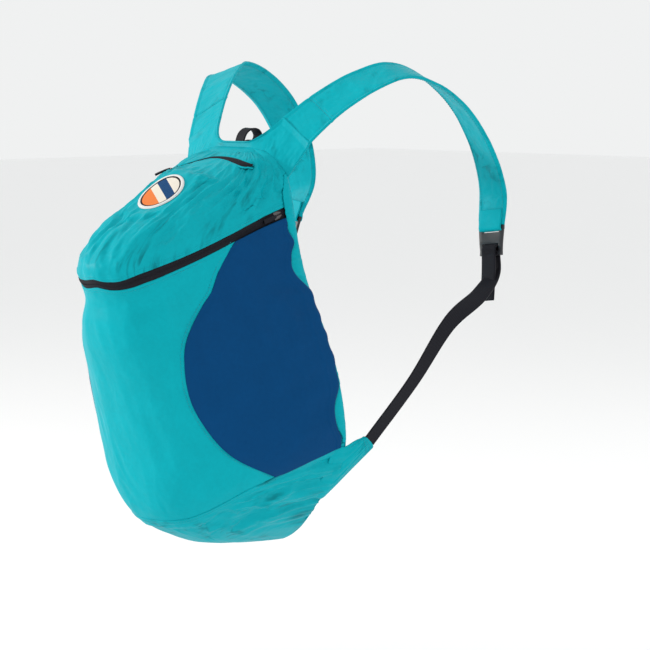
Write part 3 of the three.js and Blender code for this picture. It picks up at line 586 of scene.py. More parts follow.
def noise_node(tree, vector, scale, detail=3.0, roughness=0.55, kind="FBM", distortion=0.0):
    node = tree.nodes.new("ShaderNodeTexNoise")
    node.noise_type = kind
    settings(node, {"Scale": scale, "Detail": detail, "Roughness": roughness, "Distortion": distortion})
    tree.links.new(vector, node.inputs["Vector"])
    return node.outputs["Fac"]


def maths(tree, operation, first, second=None, clamp=False):
    node = tree.nodes.new("ShaderNodeMath")
    node.operation = operation
    node.use_clamp = clamp
    for socket, value in zip(node.inputs, (first, second)):
        if value is None:
            continue
        if isinstance(value, (int, float)):
            socket.default_value = value
        else:
            tree.links.new(value, socket)
    return node.outputs[0]


def times(tree, first, second, clamp=False):
    return maths(tree, "MULTIPLY", first, second, clamp)


def plus(tree, first, second):
    return maths(tree, "ADD", first, second)


def rgba(colour, share=1.0):
    return (*[min(1.0, part * share) for part in colour], 1)


def mix(tree, factor, first, second):
    """Two colours mixed by a socket's value. Each is a colour with alpha, or a socket."""
    node = tree.nodes.new("ShaderNodeMix")
    node.data_type = "RGBA"
    tree.links.new(factor, node.inputs["Factor"])
    for name, colour in (("A", first), ("B", second)):
        if isinstance(colour, tuple):
            node.inputs[name].default_value = colour
        else:
            tree.links.new(colour, node.inputs[name])
    return node.outputs["Result"]


def new_material(name, vector):
    """A material with its tree, its shader and the coordinates that its detail lies on."""
    material = bpy.data.materials.new(name)
    material.use_nodes = True
    tree = material.node_tree
    if vector == "UV":
        place = tree.nodes.new("ShaderNodeUVMap")
        place.uv_map = "cloth"
    else:
        place = tree.nodes.new("ShaderNodeTexCoord")
    return material, tree, tree.nodes["Principled BSDF"], place.outputs[vector]


def raise_detail(tree, shader, height):
    """Bumps the surface by a height in metres."""
    bump = tree.nodes.new("ShaderNodeBump")
    settings(bump, {"Distance": 1.0, "Strength": 1.0})
    tree.links.new(height, bump.inputs["Height"])
    tree.links.new(bump.outputs["Normal"], shader.inputs["Normal"])


def uneven_gloss(tree, shader, value, share, roughness):
    """Roughness that varies by a share of a value about its own level."""
    gloss = maths(tree, "MULTIPLY_ADD", value, share)
    gloss.node.inputs[2].default_value = roughness - share / 2
    tree.links.new(gloss, shader.inputs["Roughness"])


def crinkle_group():
    """Crinkles of thin nylon: a height in metres and a tone from 0 to 1, from object coordinates. The tone
    rises with the height, for painted shade in the hollows.
    """
    found = bpy.data.node_groups.get("nylon_crinkle")
    if found:
        return found
    group, inside, outside = node_group(
        "nylon_crinkle",
        [("Vector", "NodeSocketVector", None), ("Coarse", "NodeSocketFloat", 1.0),
         ("Fine", "NodeSocketFloat", 1.0)],
        [("Height", "NodeSocketFloat"), ("Tone", "NodeSocketFloat")],
    )
    vector = inside.outputs["Vector"]
    broad = noise_node(group, vector, 38.0, 2.0, 0.5)
    creases = noise_node(group, vector, 85.0, 2.0, 0.5, "RIDGED_MULTIFRACTAL", 0.5)
    fine = noise_node(group, vector, 260.0, 2.0, 0.5)
    coarse_height = times(group, times(group, creases, 0.00035), inside.outputs["Coarse"])
    fine_height = times(group, times(group, fine, 0.00016), inside.outputs["Fine"])
    broad_height = times(group, broad, 0.001)
    height = plus(group, plus(group, coarse_height, fine_height), broad_height)
    # the tone follows the same noises as the height: painted shade, darker in the hollows and lighter on the
    # rises
    tone = plus(group, times(group, broad, 0.55), times(group, fine, 0.45))
    group.links.new(height, outside.inputs["Height"])
    group.links.new(tone, outside.inputs["Tone"])
    return group


def crease_shade_group():
    """Painted shade of long creases in loose groups along the piece's own map, from 0 to 1. Run says which
    way they run.
    """
    found = bpy.data.node_groups.get("painted_crease_shade")
    if found:
        return found
    group, inside, outside = node_group(
        "painted_crease_shade",
        [("Run", "NodeSocketVector", None)],
        [("Share", "NodeSocketFloat")],
    )
    chart = group.nodes.new("ShaderNodeUVMap")
    chart.uv_map = "cloth"
    drawn = group.nodes.new("ShaderNodeVectorMath")
    drawn.operation = "MULTIPLY"
    group.links.new(chart.outputs["UV"], drawn.inputs[0])
    group.links.new(inside.outputs["Run"], drawn.inputs[1])
    lines = noise_node(group, drawn.outputs["Vector"], 130.0, 3.0, 0.6, "FBM", 0.6)
    places = noise_node(group, chart.outputs["UV"], 24.0, 1.0, 0.5)
    sharp = times(group, maths(group, "SUBTRACT", lines, 0.5), 6.0, True)
    loose = times(group, maths(group, "SUBTRACT", places, 0.47), 5.0, True)
    group.links.new(times(group, sharp, loose), outside.inputs["Share"])
    return group


def cloth_material(name, colour, coarse, fine, roughness, gloss, run=None, shade=0.62):
    """Thin coated nylon with crinkles and painted shade: a little darker in their hollows and lighter on
    their rises.

    run paints shade into long creases along the piece's map, and shade says how dark that painted shade is.
    """
    material, tree, shader, place = new_material(name, "Object")
    crinkle = tree.nodes.new("ShaderNodeGroup")
    crinkle.node_tree = crinkle_group()
    tree.links.new(place, crinkle.inputs["Vector"])
    settings(crinkle, {"Coarse": coarse, "Fine": fine})
    # painted shade: the crinkle tone darkens the colour where the crinkles sink and lightens it where they
    # rise
    cloth = mix(tree, crinkle.outputs["Tone"], rgba(colour, 0.86), rgba(colour, 1.14))
    if run:
        creases = tree.nodes.new("ShaderNodeGroup")
        creases.node_tree = crease_shade_group()
        creases.inputs["Run"].default_value = run
        # painted shade: the cloth is darkened along the long creases
        cloth = mix(tree, times(tree, creases.outputs["Share"], shade), cloth, rgba(colour, 0.25))
    tree.links.new(cloth, shader.inputs["Base Color"])
    uneven_gloss(tree, shader, crinkle.outputs["Tone"], 0.16, roughness)
    raise_detail(tree, shader, crinkle.outputs["Height"])
    shader.inputs["Specular IOR Level"].default_value = gloss
    return material


def woven_material(name, colour, rib, depth, roughness):
    """Woven tape: ribs across the piece's own map."""
    material, tree, shader, place = new_material(name, "UV")
    ribs = tree.nodes.new("ShaderNodeTexWave")
    ribs.bands_direction = "Y"
    settings(ribs, {"Scale": 1.0 / rib / 3.14, "Distortion": 0.6, "Detail": 1.0})
    tree.links.new(place, ribs.inputs["Vector"])
    threads = noise_node(tree, place, 900.0, 2.0)
    raise_detail(tree, shader, plus(tree, times(tree, ribs.outputs["Fac"], depth),
                                    times(tree, threads, depth * 0.2)))
    tree.links.new(mix(tree, threads, rgba(colour, 0.6), rgba(colour, 1.8)), shader.inputs["Base Color"])
    settings(shader, {"Roughness": roughness, "Specular IOR Level": 0.15})
    return material


def hard_material(name, colour, roughness, metallic, grain_scale):
    """Moulded plastic or plated metal, with a fine grain in its gloss."""
    material, tree, shader, place = new_material(name, "Object")
    fleck = noise_node(tree, place, grain_scale, 3.0)
    tree.links.new(mix(tree, fleck, rgba(colour, 0.8), rgba(colour, 1.25)), shader.inputs["Base Color"])
    uneven_gloss(tree, shader, fleck, 0.2, roughness)
    shader.inputs["Metallic"].default_value = metallic
    return material


def patch_material(name, colours):
    """Embroidery: a pale border, a dark ring and three slanted bands, with fine rows of thread."""
    material, tree, shader, place = new_material(name, "UV")
    split = tree.nodes.new("ShaderNodeSeparateXYZ")
    tree.links.new(place, split.inputs["Vector"])
    x, y = split.outputs["X"], split.outputs["Y"]
    slant = plus(tree, times(tree, x, 11.0), times(tree, y, 17.0))
    bands = ramp(tree, plus(tree, slant, 0.5), [
        (0.0, colours.orange), (0.37, colours.cream), (0.53, colours.navy), (0.72, colours.cream)])
    far = maths(tree, "SQRT", plus(tree, times(tree, x, x), times(tree, y, y)))
    share = times(tree, far, 40.0)
    ring = ramp(tree, share, [(0.0, (0, 0, 0)), (0.8, (0.5, 0.5, 0.5)), (0.87, (1, 1, 1))])
    dark = mix(tree, times(tree, ring, 2.0, clamp=True), bands, rgba(colours.black))
    rim = mix(tree, maths(tree, "GREATER_THAN", ring, 0.75), dark, (0.8, 0.79, 0.77, 1))
    tree.links.new(rim, shader.inputs["Base Color"])
    rows = tree.nodes.new("ShaderNodeTexWave")
    settings(rows, {"Scale": 700.0, "Distortion": 1.5})
    tree.links.new(place, rows.inputs["Vector"])
    raise_detail(tree, shader, times(tree, rows.outputs["Fac"], 0.0001))
    settings(shader, {"Roughness": 0.75, "Specular IOR Level": 0.2})
    return material


def ramp(tree, value, stops):
    """Plain bands of colour along a value."""
    node = tree.nodes.new("ShaderNodeValToRGB")
    node.color_ramp.interpolation = "CONSTANT"
    for place, colour in stops[2:]:
        node.color_ramp.elements.new(place)
    for element, (place, colour) in zip(node.color_ramp.elements, stops):
        element.position = place
        element.color = (*colour, 1)
    tree.links.new(value, node.inputs["Fac"])
    return node.outputs["Color"]


def finish(name):
    """The named material, made once."""
    found = bpy.data.materials.get(name)
    if found:
        return found
    colours = bpy.context.scene.daypack_colours
    turquoise, navy, black, metal = colours.turquoise, colours.navy, colours.black, colours.metal
    makers = {
        "turquoise_nylon": (cloth_material, turquoise, 1.0, 1.0, 0.45, 0.05),
        # the lid's, base's and straps' nylon carry painted shade in long creases, set by run and shade
        "lid_nylon": (cloth_material, turquoise, 1.4, 1.2, 0.45, 0.06, (1.0, 0.16, 1.0)),
        "base_nylon": (cloth_material, turquoise, 1.2, 1.0, 0.45, 0.06, (0.2, 1.0, 1.0), 0.85),
        "strap_nylon": (cloth_material, turquoise, 1.4, 1.2, 0.45, 0.05, (0.7, 0.6, 1.0), 0.5),
        "navy_nylon": (cloth_material, navy, 0.4, 0.8, 0.5, 0.04),
        "zip_weave": (woven_material, black, 0.0011, 0.00006, 0.7),
        "webbing_weave": (woven_material, black, 0.0016, 0.00012, 0.65),
        "moulded_plastic": (hard_material, black, 0.42, 0.0, 900.0),
        "plated_metal": (hard_material, metal, 0.3, 1.0, 1200.0),
        "turquoise_thread": (hard_material, turquoise * 0.8, 0.6, 0.0, 2500.0),
        "navy_thread": (hard_material, navy * 0.8, 0.6, 0.0, 2500.0),
        "patch_embroidery": (patch_material, colours),
    }
    make, *looks = makers[name]
    return make(name, *looks)


# Pieces on the bag

def hem(distance, width, height):
    """The rise of a folded and stitched hem at a distance in from its edge."""
    if distance > width + 1.5 * MM:
        return 0.0
    edge = ease(-0.2 * MM, 0.7 * MM, distance)
    inner = 1 - ease(width - 0.4 * MM, width + 1.2 * MM, distance)
    return height * (edge * inner - 0.6 * dip(distance - 0.66 * width, 0.5 * MM))


def saddle_lift(turn, down):
    """The lid swells above the patch and sinks below it."""
    return 5.5 * MM * (dip(down - 0.066, 0.022) - dip(down - 0.135, 0.03)) * dip(turn - 90, 24)


def lid(skin):
    s = skin.s
    turns = [HALF_TURN * i / 200 for i in range(201)]
    feet = [skin.beside_zip(turn, -s.zip_width * 0.5) for turn in turns]
    long = [(skin.plain(turn, foot) - skin.plain(turn, foot * 0.5)).length * 2
            for turn, foot in zip(turns, feet)]
    middle = skin.plain(90, skin.level(PATCH_DOWN))

    def place(a, b):
        turn = a * HALF_TURN
        level = b * smooth_through(feet, a)
        point = skin.plain(turn, level)
        calm = ease(0.0, 0.12, b) * (0.35 + 0.65 * ease(0.25, 0.6, b))
        calm *= (ease(0.85, 1.5, (point - middle).length * 2 / s.patch_diameter)
                 * (1 - 0.8 * ease(0.78, 0.95, b)))
        lift = skin.fold_rise(point)
        lift += saddle_lift(turn, skin.read(0, level))
        swirl = turn + 9 * noise.noise(Vector((turn * 0.04, level * 5, 2)))
        lift += 1.7 * MM * calm * wrinkle(swirl, level, 0.022, 0.085, 3.1)
        lift += 1.1 * MM * calm * wrinkle(swirl * 0.8 + level * 90, level, 0.013, 0.03, 7.7)
        lift += 0.3 * MM * calm * wrinkle(turn - level * 120, level, 0.008, 0.012, 12.3)
        lift += hem((1 - b) * smooth_through(long, a), 5 * MM, 0.7 * MM)
        lift -= 1.8 * MM * slit_press(skin, turn, level)
        return point + skin.outward(turn, level) * lift

    return sheet_grid("lid_cloth", place, 150, 220, LID_MAP, finish("lid_nylon"), s.cloth,
                      margins=(0.05, 0.06))


def slit_press(skin, turn, level):
    """How far the cloth is pressed in along the top pocket's slit, from 0 to 1."""
    first, last = SLIT_LINE[0][0], SLIT_LINE[-1][0]
    if not first - 3 <= turn <= last + 3 or level > 0.2:
        return 0.0
    middle, half = skin.slit(turn)
    step = (skin.plain(turn, middle + 0.004) - skin.plain(turn, middle)).length / 0.004
    ends = ease(-3, 0, turn - first) * ease(-3, 0, last - turn)
    return ends * math.exp(-((level - middle) * step / (half + 1.0 * MM)) ** 4)


def front(skin):
    s = skin.s

    def across(start, line, beside):
        """The seam along a line from a turn on the right to the same turn on the left."""
        def seam(a):
            turn = start + a * (HALF_TURN - 2 * start)
            return turn, line(turn, beside)
        return seam

    def left(b):
        turn, level = skin.pocket_seam(b)
        return HALF_TURN - turn, level

    top = across(POCKET_SEAM[0][0], skin.beside_zip, s.zip_width * 0.5)
    foot = across(POCKET_SEAM[-1][0], skin.beside_base, 0.0)
    seams = [lru_cache(None)(seam) for seam in (top, foot, skin.pocket_seam, left)]

    def place(a, b):
        turn, level = blend_four(*seams, a, b)
        point = skin.plain(turn, level)
        calm = ease(0.0, 0.05, b) * ease(0.0, 0.05, 1 - b)
        lift = skin.fold_rise(point)
        lift += 0.5 * MM * calm * wrinkle(turn, level, 0.04, 0.12, 5.3)
        lift += 0.3 * MM * calm * wrinkle(turn + level * 60, level, 0.018, 0.04, 9.1)
        lift += hem(b * 0.21, 5 * MM, 0.6 * MM)
        return point + skin.outward(turn, level) * lift

    return sheet_grid("front_cloth", place, 130, 110, (0.36, 0.23), finish("turquoise_nylon"), s.cloth,
                      margins=(0.04, 0.06))


def mouth_margin(skin, down):
    return EDGING_WIDE.at(down) * skin.s.edging_width + 1.5 * MM


def pocket_outline(skin, back_turn):
    """The four seams of the side between the zip, the base and the pocket seam.

    back_turn(level) is the turn of its back edge.
    """
    s = skin.s
    start, end = POCKET_SEAM[0][0], POCKET_SEAM[-1][0]
    top_level, foot_level = skin.beside_zip(3.0, s.zip_width * 0.5), skin.beside_base(3.0, 0.0)

    def rear(b):
        level = top_level + b * (foot_level - top_level)
        return back_turn(level), level

    def edge(line, to, share):
        turn = rear(share)[0]
        return lambda a: (turn + a * (to - turn), line(turn + a * (to - turn)))

    top = edge(lambda turn: skin.beside_zip(turn, s.zip_width * 0.5), start, 0)
    foot = edge(lambda turn: skin.beside_base(turn, 0.0), end, 1)
    return [lru_cache(None)(seam) for seam in (top, foot, rear, skin.pocket_seam)]


def pocket(skin, side):
    s = skin.s
    seams = pocket_outline(skin, lambda level: skin.turn_at(level, mouth_margin(skin, skin.read(0, level))))

    def place(a, b):
        turn, level = blend_four(*seams, a, b)
        point = skin.plain(turn, level)
        stand = s.pocket_lift * smooth_through(POCKET_MOUTH, b) * (1 - a) ** 2.2
        pucker = 0.9 * MM * (1 - a) ** 3 * math.sin(55 * b + 3 * math.sin(9 * b))
        calm = ease(0.0, 0.06, b) * ease(0.0, 0.06, 1 - b) * (1 - ease(0.9, 1.0, a))
        lift = 2.4 * MM - 1.4 * MM * ease(0.85, 1.0, a) + stand + pucker
        lift += calm * 0.5 * MM * wrinkle(turn, level, 0.035, 0.1, 11.7)
        lift += calm * 0.25 * MM * wrinkle(turn - level * 50, level, 0.016, 0.035, 13.9)
        lift += hem(b * 0.2, 5 * MM, 0.5 * MM) + hem(a * 0.1, 6 * MM, 0.5 * MM)
        return flipped(point + skin.outward(turn, level) * lift, side)

    return sheet_grid(mirrored_name("pocket_cloth", side), place, 120, 80, (0.15, 0.23), finish("navy_nylon"),
                      s.cloth, inward=side > 0, margins=(0.08, 0.05))


def side_panel(skin, side):
    seams = pocket_outline(skin, lambda level: skin.turn_at(level, 0.5 * MM))

    def place(a, b):
        turn, level = blend_four(*seams, a, b)
        point = skin.plain(turn, level)
        lift = -0.9 * MM + 0.4 * MM * wrinkle(turn, level, 0.03, 0.08, 19.3) * ease(0.0, 0.1, a)
        return flipped(point + skin.outward(turn, level) * lift, side)

    return sheet_grid(mirrored_name("side_cloth", side), place, 60, 40, (0.16, 0.23),
                      finish("turquoise_nylon"), skin.s.cloth, inward=side > 0)


def base(skin):
    s = skin.s

    def place(a, b):
        turn = a * HALF_TURN
        start = skin.beside_base(turn, 0.0)
        level = start + b * (1 - start)
        point = skin.plain(turn, level)
        aside = min(turn, HALF_TURN - turn)
        near = (1 - ease(8, 60, aside)) * ease(0.0, 0.12, b)
        pull = (skin.read(0, level) - 0.72) * 1.5 - aside * 0.0021
        bend = 0.02 * noise.noise(Vector((turn * 0.05, 0, 6)))
        lift = skin.fold_rise(point)
        near *= 1 - ease(0.35, 0.7, b)
        lift += 2.4 * MM * near * creased(Vector(((pull + bend) * 26, turn * 0.012, 2.2)))
        lift += 0.7 * MM * near * creased(Vector(((pull - bend) * 60, turn * 0.03, 8.2)))
        lift += 0.4 * MM * wrinkle(turn + level * 150, level, 0.03, 0.04, 15.9) * ease(0.0, 0.08, b)
        lift += hem(b * 0.1, 5 * MM, 0.5 * MM)
        return point + skin.outward(turn, level) * lift * (1 - ease(0.93, 1.0, b))

    return sheet_grid("base_cloth", place, 110, 200, BASE_MAP, finish("base_nylon"), s.cloth,
                      margins=(0.05, 0.08))


def back(skin):
    s = skin.s

    def place(a, b):
        across = 1 - 2 * a
        down = skin.read(0, b)
        half = skin.read(1, b) * s.bag_width * 0.5
        swell = s.back_swell * (1 - across ** 2) * math.sin(math.pi * down)
        ripple = 0.9 * MM * noise.noise(Vector((across * 3, down * 7, 4.4))) * (1 - across ** 4)
        ripple += 0.5 * MM * ridged(Vector((across * 6 + down * 3, down * 15, 4.4))) * (1 - across ** 6)
        return Vector((across * half, skin.back(down) + 1.9 * MM + swell + ripple, skin.height(down)))

    return sheet_grid("back_cloth", place, 120, 80, (0.25, 0.39), finish("turquoise_nylon"), s.cloth,
                      inward=False)


def zip_band(skin):
    s = skin.s

    def place(a, b):
        turn = a * HALF_TURN
        level = skin.beside_zip(turn, (b - 0.5) * (s.zip_width + 1.4 * MM))
        middle = abs(b - 0.5) * 2
        coil = 0.7 * MM * (1 - ease(0.12, 0.24, middle)) - 0.5 * MM * dip(middle, 0.04)
        return skin.at(turn, level, -0.35 * MM + 0.5 * MM * (1 - middle ** 2) + coil)

    return sheet_grid("zip_band", place, 24, 300, (0.5, s.zip_width), finish("zip_weave"), 0.8 * MM)


def zip_coil(skin):
    """The fine loops of the zip's coil, side by side along its middle."""
    count = 300
    places = []
    for i in range(count):
        turn, ahead = (HALF_TURN * (i + k) / count for k in (0.25, 0.75))
        here, there = (skin.at(t, skin.line(ZIP_DOWN, t), 0.5 * MM) for t in (turn, ahead))
        size = Matrix.Diagonal((0.5 * MM, 1.2 * MM, 0.45 * MM, 1.0))
        places.append(laid(here, there - here, skin.outward(turn, skin.line(ZIP_DOWN, turn))) @ size)
    return many("zip_coil", places, finish("zip_weave"), grain)


def slit_band(skin):
    """The dark tape that shows in the top pocket's open slit."""
    first, last = SLIT_LINE[0][0], SLIT_LINE[-1][0]

    def place(a, b):
        turn = first + a * (last - first)
        middle, half = skin.slit(turn)
        level = skin.away(turn, middle, (b - 0.5) * 2 * half)
        return skin.at(turn, level, -0.5 * MM + 1.3 * MM * math.sin(math.pi * b))

    return sheet_grid("slit_band", place, 10, 120, (0.14, skin.s.slit_width), finish("zip_weave"), 0.8 * MM)


def slit_lip(skin, edge):
    """The folded cloth edge beside the slit, above it for edge -1 and below it for 1."""
    first, last = SLIT_LINE[0][0], SLIT_LINE[-1][0]

    def place(a, b):
        turn = first - 1 + a * (last - first + 2)
        middle, half = skin.slit(turn)
        level = skin.away(turn, middle, edge * (half + (b - 0.15) * 2.6 * MM))
        ends = ease(0, 0.08, min(a, 1 - a))
        return skin.at(turn, level, ends * 0.8 * MM * math.sin(math.pi * min(1, b * 1.05)) ** 0.7 - 0.5 * MM
                       - (1 - ends) * 1.5 * MM)

    return sheet_grid("slit_lip_upper" if edge < 0 else "slit_lip_lower", place, 8, 120, (0.14, 0.0026),
                      finish("turquoise_nylon"), 0.5 * MM, inward=edge > 0)


def edging(skin, side):
    s = skin.s
    first, last = 0.062, 0.722

    def place(a, b):
        down = first + b * (last - first)
        level = skin.level(down)
        wide = EDGING_WIDE.at(down) * s.edging_width
        turn = skin.turn_at(level, a * wide)
        ruffle = noise.noise(Vector((down * 60, 0, 3))) + 0.5 * noise.noise(Vector((down * 140, 1, 3)))
        lift = 2.2 * MM + 1.4 * MM * math.sin(math.pi * a) + 1.3 * MM * ruffle * (0.3 + a)
        lift += hem((1 - a) * wide, 2.4 * MM, 0.7 * MM)
        return flipped(skin.plain(turn, level) + skin.outward(turn, level) * lift, side)

    return sheet_grid(mirrored_name("edging", side), place, 260, 14, (0.017, 0.26), finish("turquoise_nylon"),
                      0.9 * MM, inward=side > 0)


# Straps and webbing

def strap_stops(s):
    stops = []
    for rows, reach, drop, sign in ((STRAP_BEHIND, s.shoulder_reach, s.shoulder_drop, -1),
                                    (STRAP_AHEAD, s.chest_reach, s.chest_drop, 1)):
        for out, along, down, sweep, lean, wide in rows:
            middle = Vector((out * s.strap_spread * 0.5, sign * along * reach, -down * drop))
            stops.append((middle, Vector((1, sweep, -lean)).normalized(), wide * s.strap_width))
    return stops


def curve_point(points, share):
    """A point of the centripetal curve through the points, as the solids' straps follow."""
    last = len(points) - 1
    place = min(max(share, 0.0), 1.0) * last
    i = min(last - 1, int(place))
    f = place - i
    p1, p2 = points[i], points[i + 1]
    p0 = points[i - 1] if i > 0 else 2 * points[0] - points[1]
    p3 = points[i + 2] if i < last - 1 else 2 * points[last] - points[last - 1]
    d0, d1, d2 = (max((b - a).length ** 0.5, 1e-4) for a, b in ((p0, p1), (p1, p2), (p2, p3)))
    t1 = ((p1 - p0) / d0 - (p2 - p0) / (d0 + d1) + (p2 - p1) / d1) * d1
    t2 = ((p2 - p1) / d1 - (p3 - p1) / (d1 + d2) + (p3 - p2) / d2) * d1
    return (p1 + t1 * f + (-3 * p1 + 3 * p2 - 2 * t1 - t2) * f * f + (2 * p1 - 2 * p2 + t1 + t2) * f ** 3)


def stop_at(stops, share):
    """Middle, side direction, direction along, face direction and width."""
    middles = [stop[0] for stop in stops]
    middle = curve_point(middles, share)
    along = (curve_point(middles, share + 0.002) - curve_point(middles, share - 0.002)).normalized()
    aside = Vector([smooth_through([stop[1][k] for stop in stops], share) for k in range(3)])
    aside = (aside - along * aside.dot(along)).normalized()
    width = smooth_through([stop[2] for stop in stops], share)
    return middle, aside, along, aside.cross(along).normalized(), width


def band(name, stops, thickness, rows, columns, size, material, side=1, first=0.0, last=1.0, shape=None,
         margin=None):
    """A flat band that follows the stops. shape(a, b) lifts its face."""
    def place(a, b):
        middle, aside, _, face, width = stop_at(stops, first + b * (last - first))
        return flipped(middle + aside * (a - 0.5) * width + face * (shape(a, b) if shape else 0.0), side)

    return sheet_grid(name, place, rows, columns, size, material, thickness, side < 0,
                      (margin, 0.05) if margin else None, 0.0)


def strap_shape(a, b):
    edge = min(a, 1 - a)
    rim = 0.9 * MM * dip(edge, 0.035) - 0.5 * MM * dip(edge - 0.09, 0.018)
    ripple = 0.8 * MM * noise.noise(Vector((a * 2.5, b * 22, 8.8)))
    ripple += 0.35 * MM * ridged(Vector((a * 4, b * 60, 2)))
    return rim + ripple * (0.4 + 0.6 * ease(0.05, 0.2, edge)) - 0.6 * MM * dip(b - 0.085, 0.0035)


def shoulder_strap(skin, side):
    return band(mirrored_name("strap_cloth", side), strap_stops(skin.s), 2.2 * MM, 240, 30, (0.046, 0.42),
                finish("strap_nylon"), side, YOKE_REACH - 0.006, 1.0, strap_shape, 0.1)


def strap_stitches(skin, side):
    """A row along each edge, two rows across the strap's join and one at its end, on both faces."""
    stops = strap_stops(skin.s)

    def seat(a, b, face_side):
        middle, aside, _, face, width = stop_at(stops, YOKE_REACH + b * (1 - YOKE_REACH))
        lift = strap_shape(a, b) + face_side * 1.15 * MM
        return middle + aside * (a - 0.5) * width + face * lift, face * face_side

    paths = []
    for face_side in (1, -1):
        for a in (0.09, 0.91):
            paths.append([seat(a, i / 160, face_side) for i in range(161)])
        for b in (0.081, 0.089, 0.975):
            paths.append([seat(0.06 + 0.88 * i / 12, b, face_side) for i in range(13)])
    worn = [[(flipped(point, side), flipped(out, side)) for point, out in path] for path in paths]
    return stitches(mirrored_name("strap_stitches", side), worn, finish("turquoise_thread"), skin.s.stitch)


def arch_seat(skin, share):
    """A place on the arch of the back panel's top edge. share runs from its middle to the yoke's corner."""
    flat = YOKE_FLAT
    level = skin.level(YOKE_CORNER) * max(0.0, (share - flat) / (1 - flat))
    edge = lambda at: Vector((skin.read(1, at) * skin.s.bag_width * 0.5, skin.height(skin.read(0, at))))
    slope = edge(level + 0.004) - edge(max(level - 0.004, 0.0))
    out = Vector((0, 1)) if share < flat else Vector((-slope.y, slope.x)).normalized()
    point = edge(level) + out * 1.8 * MM
    across = point.x * share / flat if share < flat else point.x
    return Vector((across, skin.back(skin.read(0, level)), point.y)), level


def yoke_skirt(skin, share, reach):
    """The end of the yoke's cloth where it lies down on the lid, a distance in from the top seam."""
    swing = ease(0.05, 0.7, share)
    _, level = arch_seat(skin, share)
    turn = 90 * (1 - min(1.0, share / YOKE_FLAT) ** 1.5)
    lower = skin.away(turn, level + 0.012, reach * (1 - swing))
    forward = reach * swing + skin.read(2, lower) * skin.s.bag_depth * math.sin(math.radians(turn)) ** (
        2 / skin.read(3, lower))
    return min(90.0, skin.turn_at(lower, forward)), lower


def yoke(skin):
    s = skin.s
    stops = strap_stops(s)
    middle, aside, _, _, width = stop_at(stops, YOKE_REACH)
    strap_edge = lambda side: middle + aside * side * width
    seat = arch_seat(skin, 0)[0]
    flat = arch_seat(skin, YOKE_FLAT)[0]
    hem_top = seat.z + s.hem_height
    bend = [Vector((share * flat.x, seat.y, hem_top)) for share in (0.55, 1.25)] + [strap_edge(-0.5)]

    def top_edge(u):
        """From the middle of the hem along the bend to the strap, then across the strap."""
        if u < 0.22:
            return bend[0] * (u / 0.22) + Vector((0, seat.y, hem_top)) * (1 - u / 0.22)
        if u < 0.6:
            t = (u - 0.22) / 0.38
            return bend[0] * (1 - t) ** 2 + bend[1] * 2 * t * (1 - t) + bend[2] * t * t
        return strap_edge(-0.5 + (u - 0.6) / 0.4)

    def seat_share(u):
        if u < 0.22:
            return 0.2 * u / 0.22
        if u < 0.6:
            return 0.2 + 0.35 * (u - 0.22) / 0.38
        return 0.55 + 0.45 * (u - 0.6) / 0.4

    def place(a, b):
        u = abs(a - 0.5) * 2
        top, (foot, _) = top_edge(u), arch_seat(skin, seat_share(u))
        turn, level = yoke_skirt(skin, seat_share(u), 13 * MM)
        skirt = skin.at(turn, level, -2.4 * MM)
        low = foot - Vector((0, 1.0 * MM, 0))
        if b < 0.6:
            point = top.lerp(low, b / 0.6)
        else:
            t = (b - 0.6) / 0.4
            bent = low.lerp(skin.at(turn, level, 1.2 * MM), 0.45)
            point = low * (1 - t) ** 2 + bent * 2 * t * (1 - t) + skirt * t * t
        crease = noise.noise(Vector((u * 9, b * 5, 1.7))) + 0.6 * ridged(Vector((u * 16, b * 4, 5.1)))
        point.y -= 1.2 * MM * crease * math.sin(math.pi * b) * ease(0.35, 0.7, u)
        point.y -= 0.9 * MM * dip(b, 0.05) - 0.5 * MM * dip(b - 0.12, 0.03)
        return flipped(point, 1 if a < 0.5 else -1)

    return sheet_grid("yoke_cloth", place, 60, 200, (0.22, 0.06), finish("strap_nylon"), 2.4 * MM, offset=0.0)


def tab_points(skin):
    s = skin.s
    lean = Vector((-0.2, 0.8, -0.56)).normalized()

    def seam(down):
        half = skin.read(1, skin.level(down)) * s.bag_width * 0.5
        return Vector((half - 1.7 * MM, skin.back(down) + 2.9 * MM, skin.height(down)))

    tip = seam(TAB_TOP) + Vector((0.28, 0.95, 0.14)) * s.tab_reach
    end = lambda a: tip + lean * ((a - 0.5) * s.tab_width)
    return end, tip, lean


def tab_place(skin, a, b):
    """A point of the tab's middle face: on the base panel up to the overlap, then out to the webbing."""
    end, _, _ = tab_points(skin)
    down = TAB_TOP + a * (TAB_FOOT - TAB_TOP)
    level = skin.level(down)
    seam = skin.plain(skin.turn_at(level, 0.5 * MM), level) + Vector((0.6 * MM, 0.8 * MM, 0))
    if b < TAB_OVERLAP:
        share = 1 - b / TAB_OVERLAP
        turn = skin.turn_at(level, 15 * MM * share + 0.5 * MM)
        point = skin.plain(turn, level) + skin.outward(turn, level) * (0.6 - 3.2 * share ** 1.5) * MM
        far = 0.0
    else:
        far = (b - TAB_OVERLAP) / (1 - TAB_OVERLAP)
        point = seam.lerp(end(a), far)
    puff = math.sin(math.pi * a) * math.sin(math.pi * far)
    fan = creased(Vector(((a - 0.5) * 4.2, b * 1.1, 3.3)))
    fan += 0.5 * creased(Vector(((a - 0.5) * 9, b * 2, 6.1)))
    point = point + Vector(((2.0 * puff + 0.9 * fan * (1 - 0.75 * far)) * MM, 0, 0))
    rounded = max(0.0, abs(a - 0.5) * 2 - 0.7) / 0.3
    return point - (end(a) - seam).normalized() * (2.6 * MM * rounded ** 2 * ease(0.7, 1.0, b))


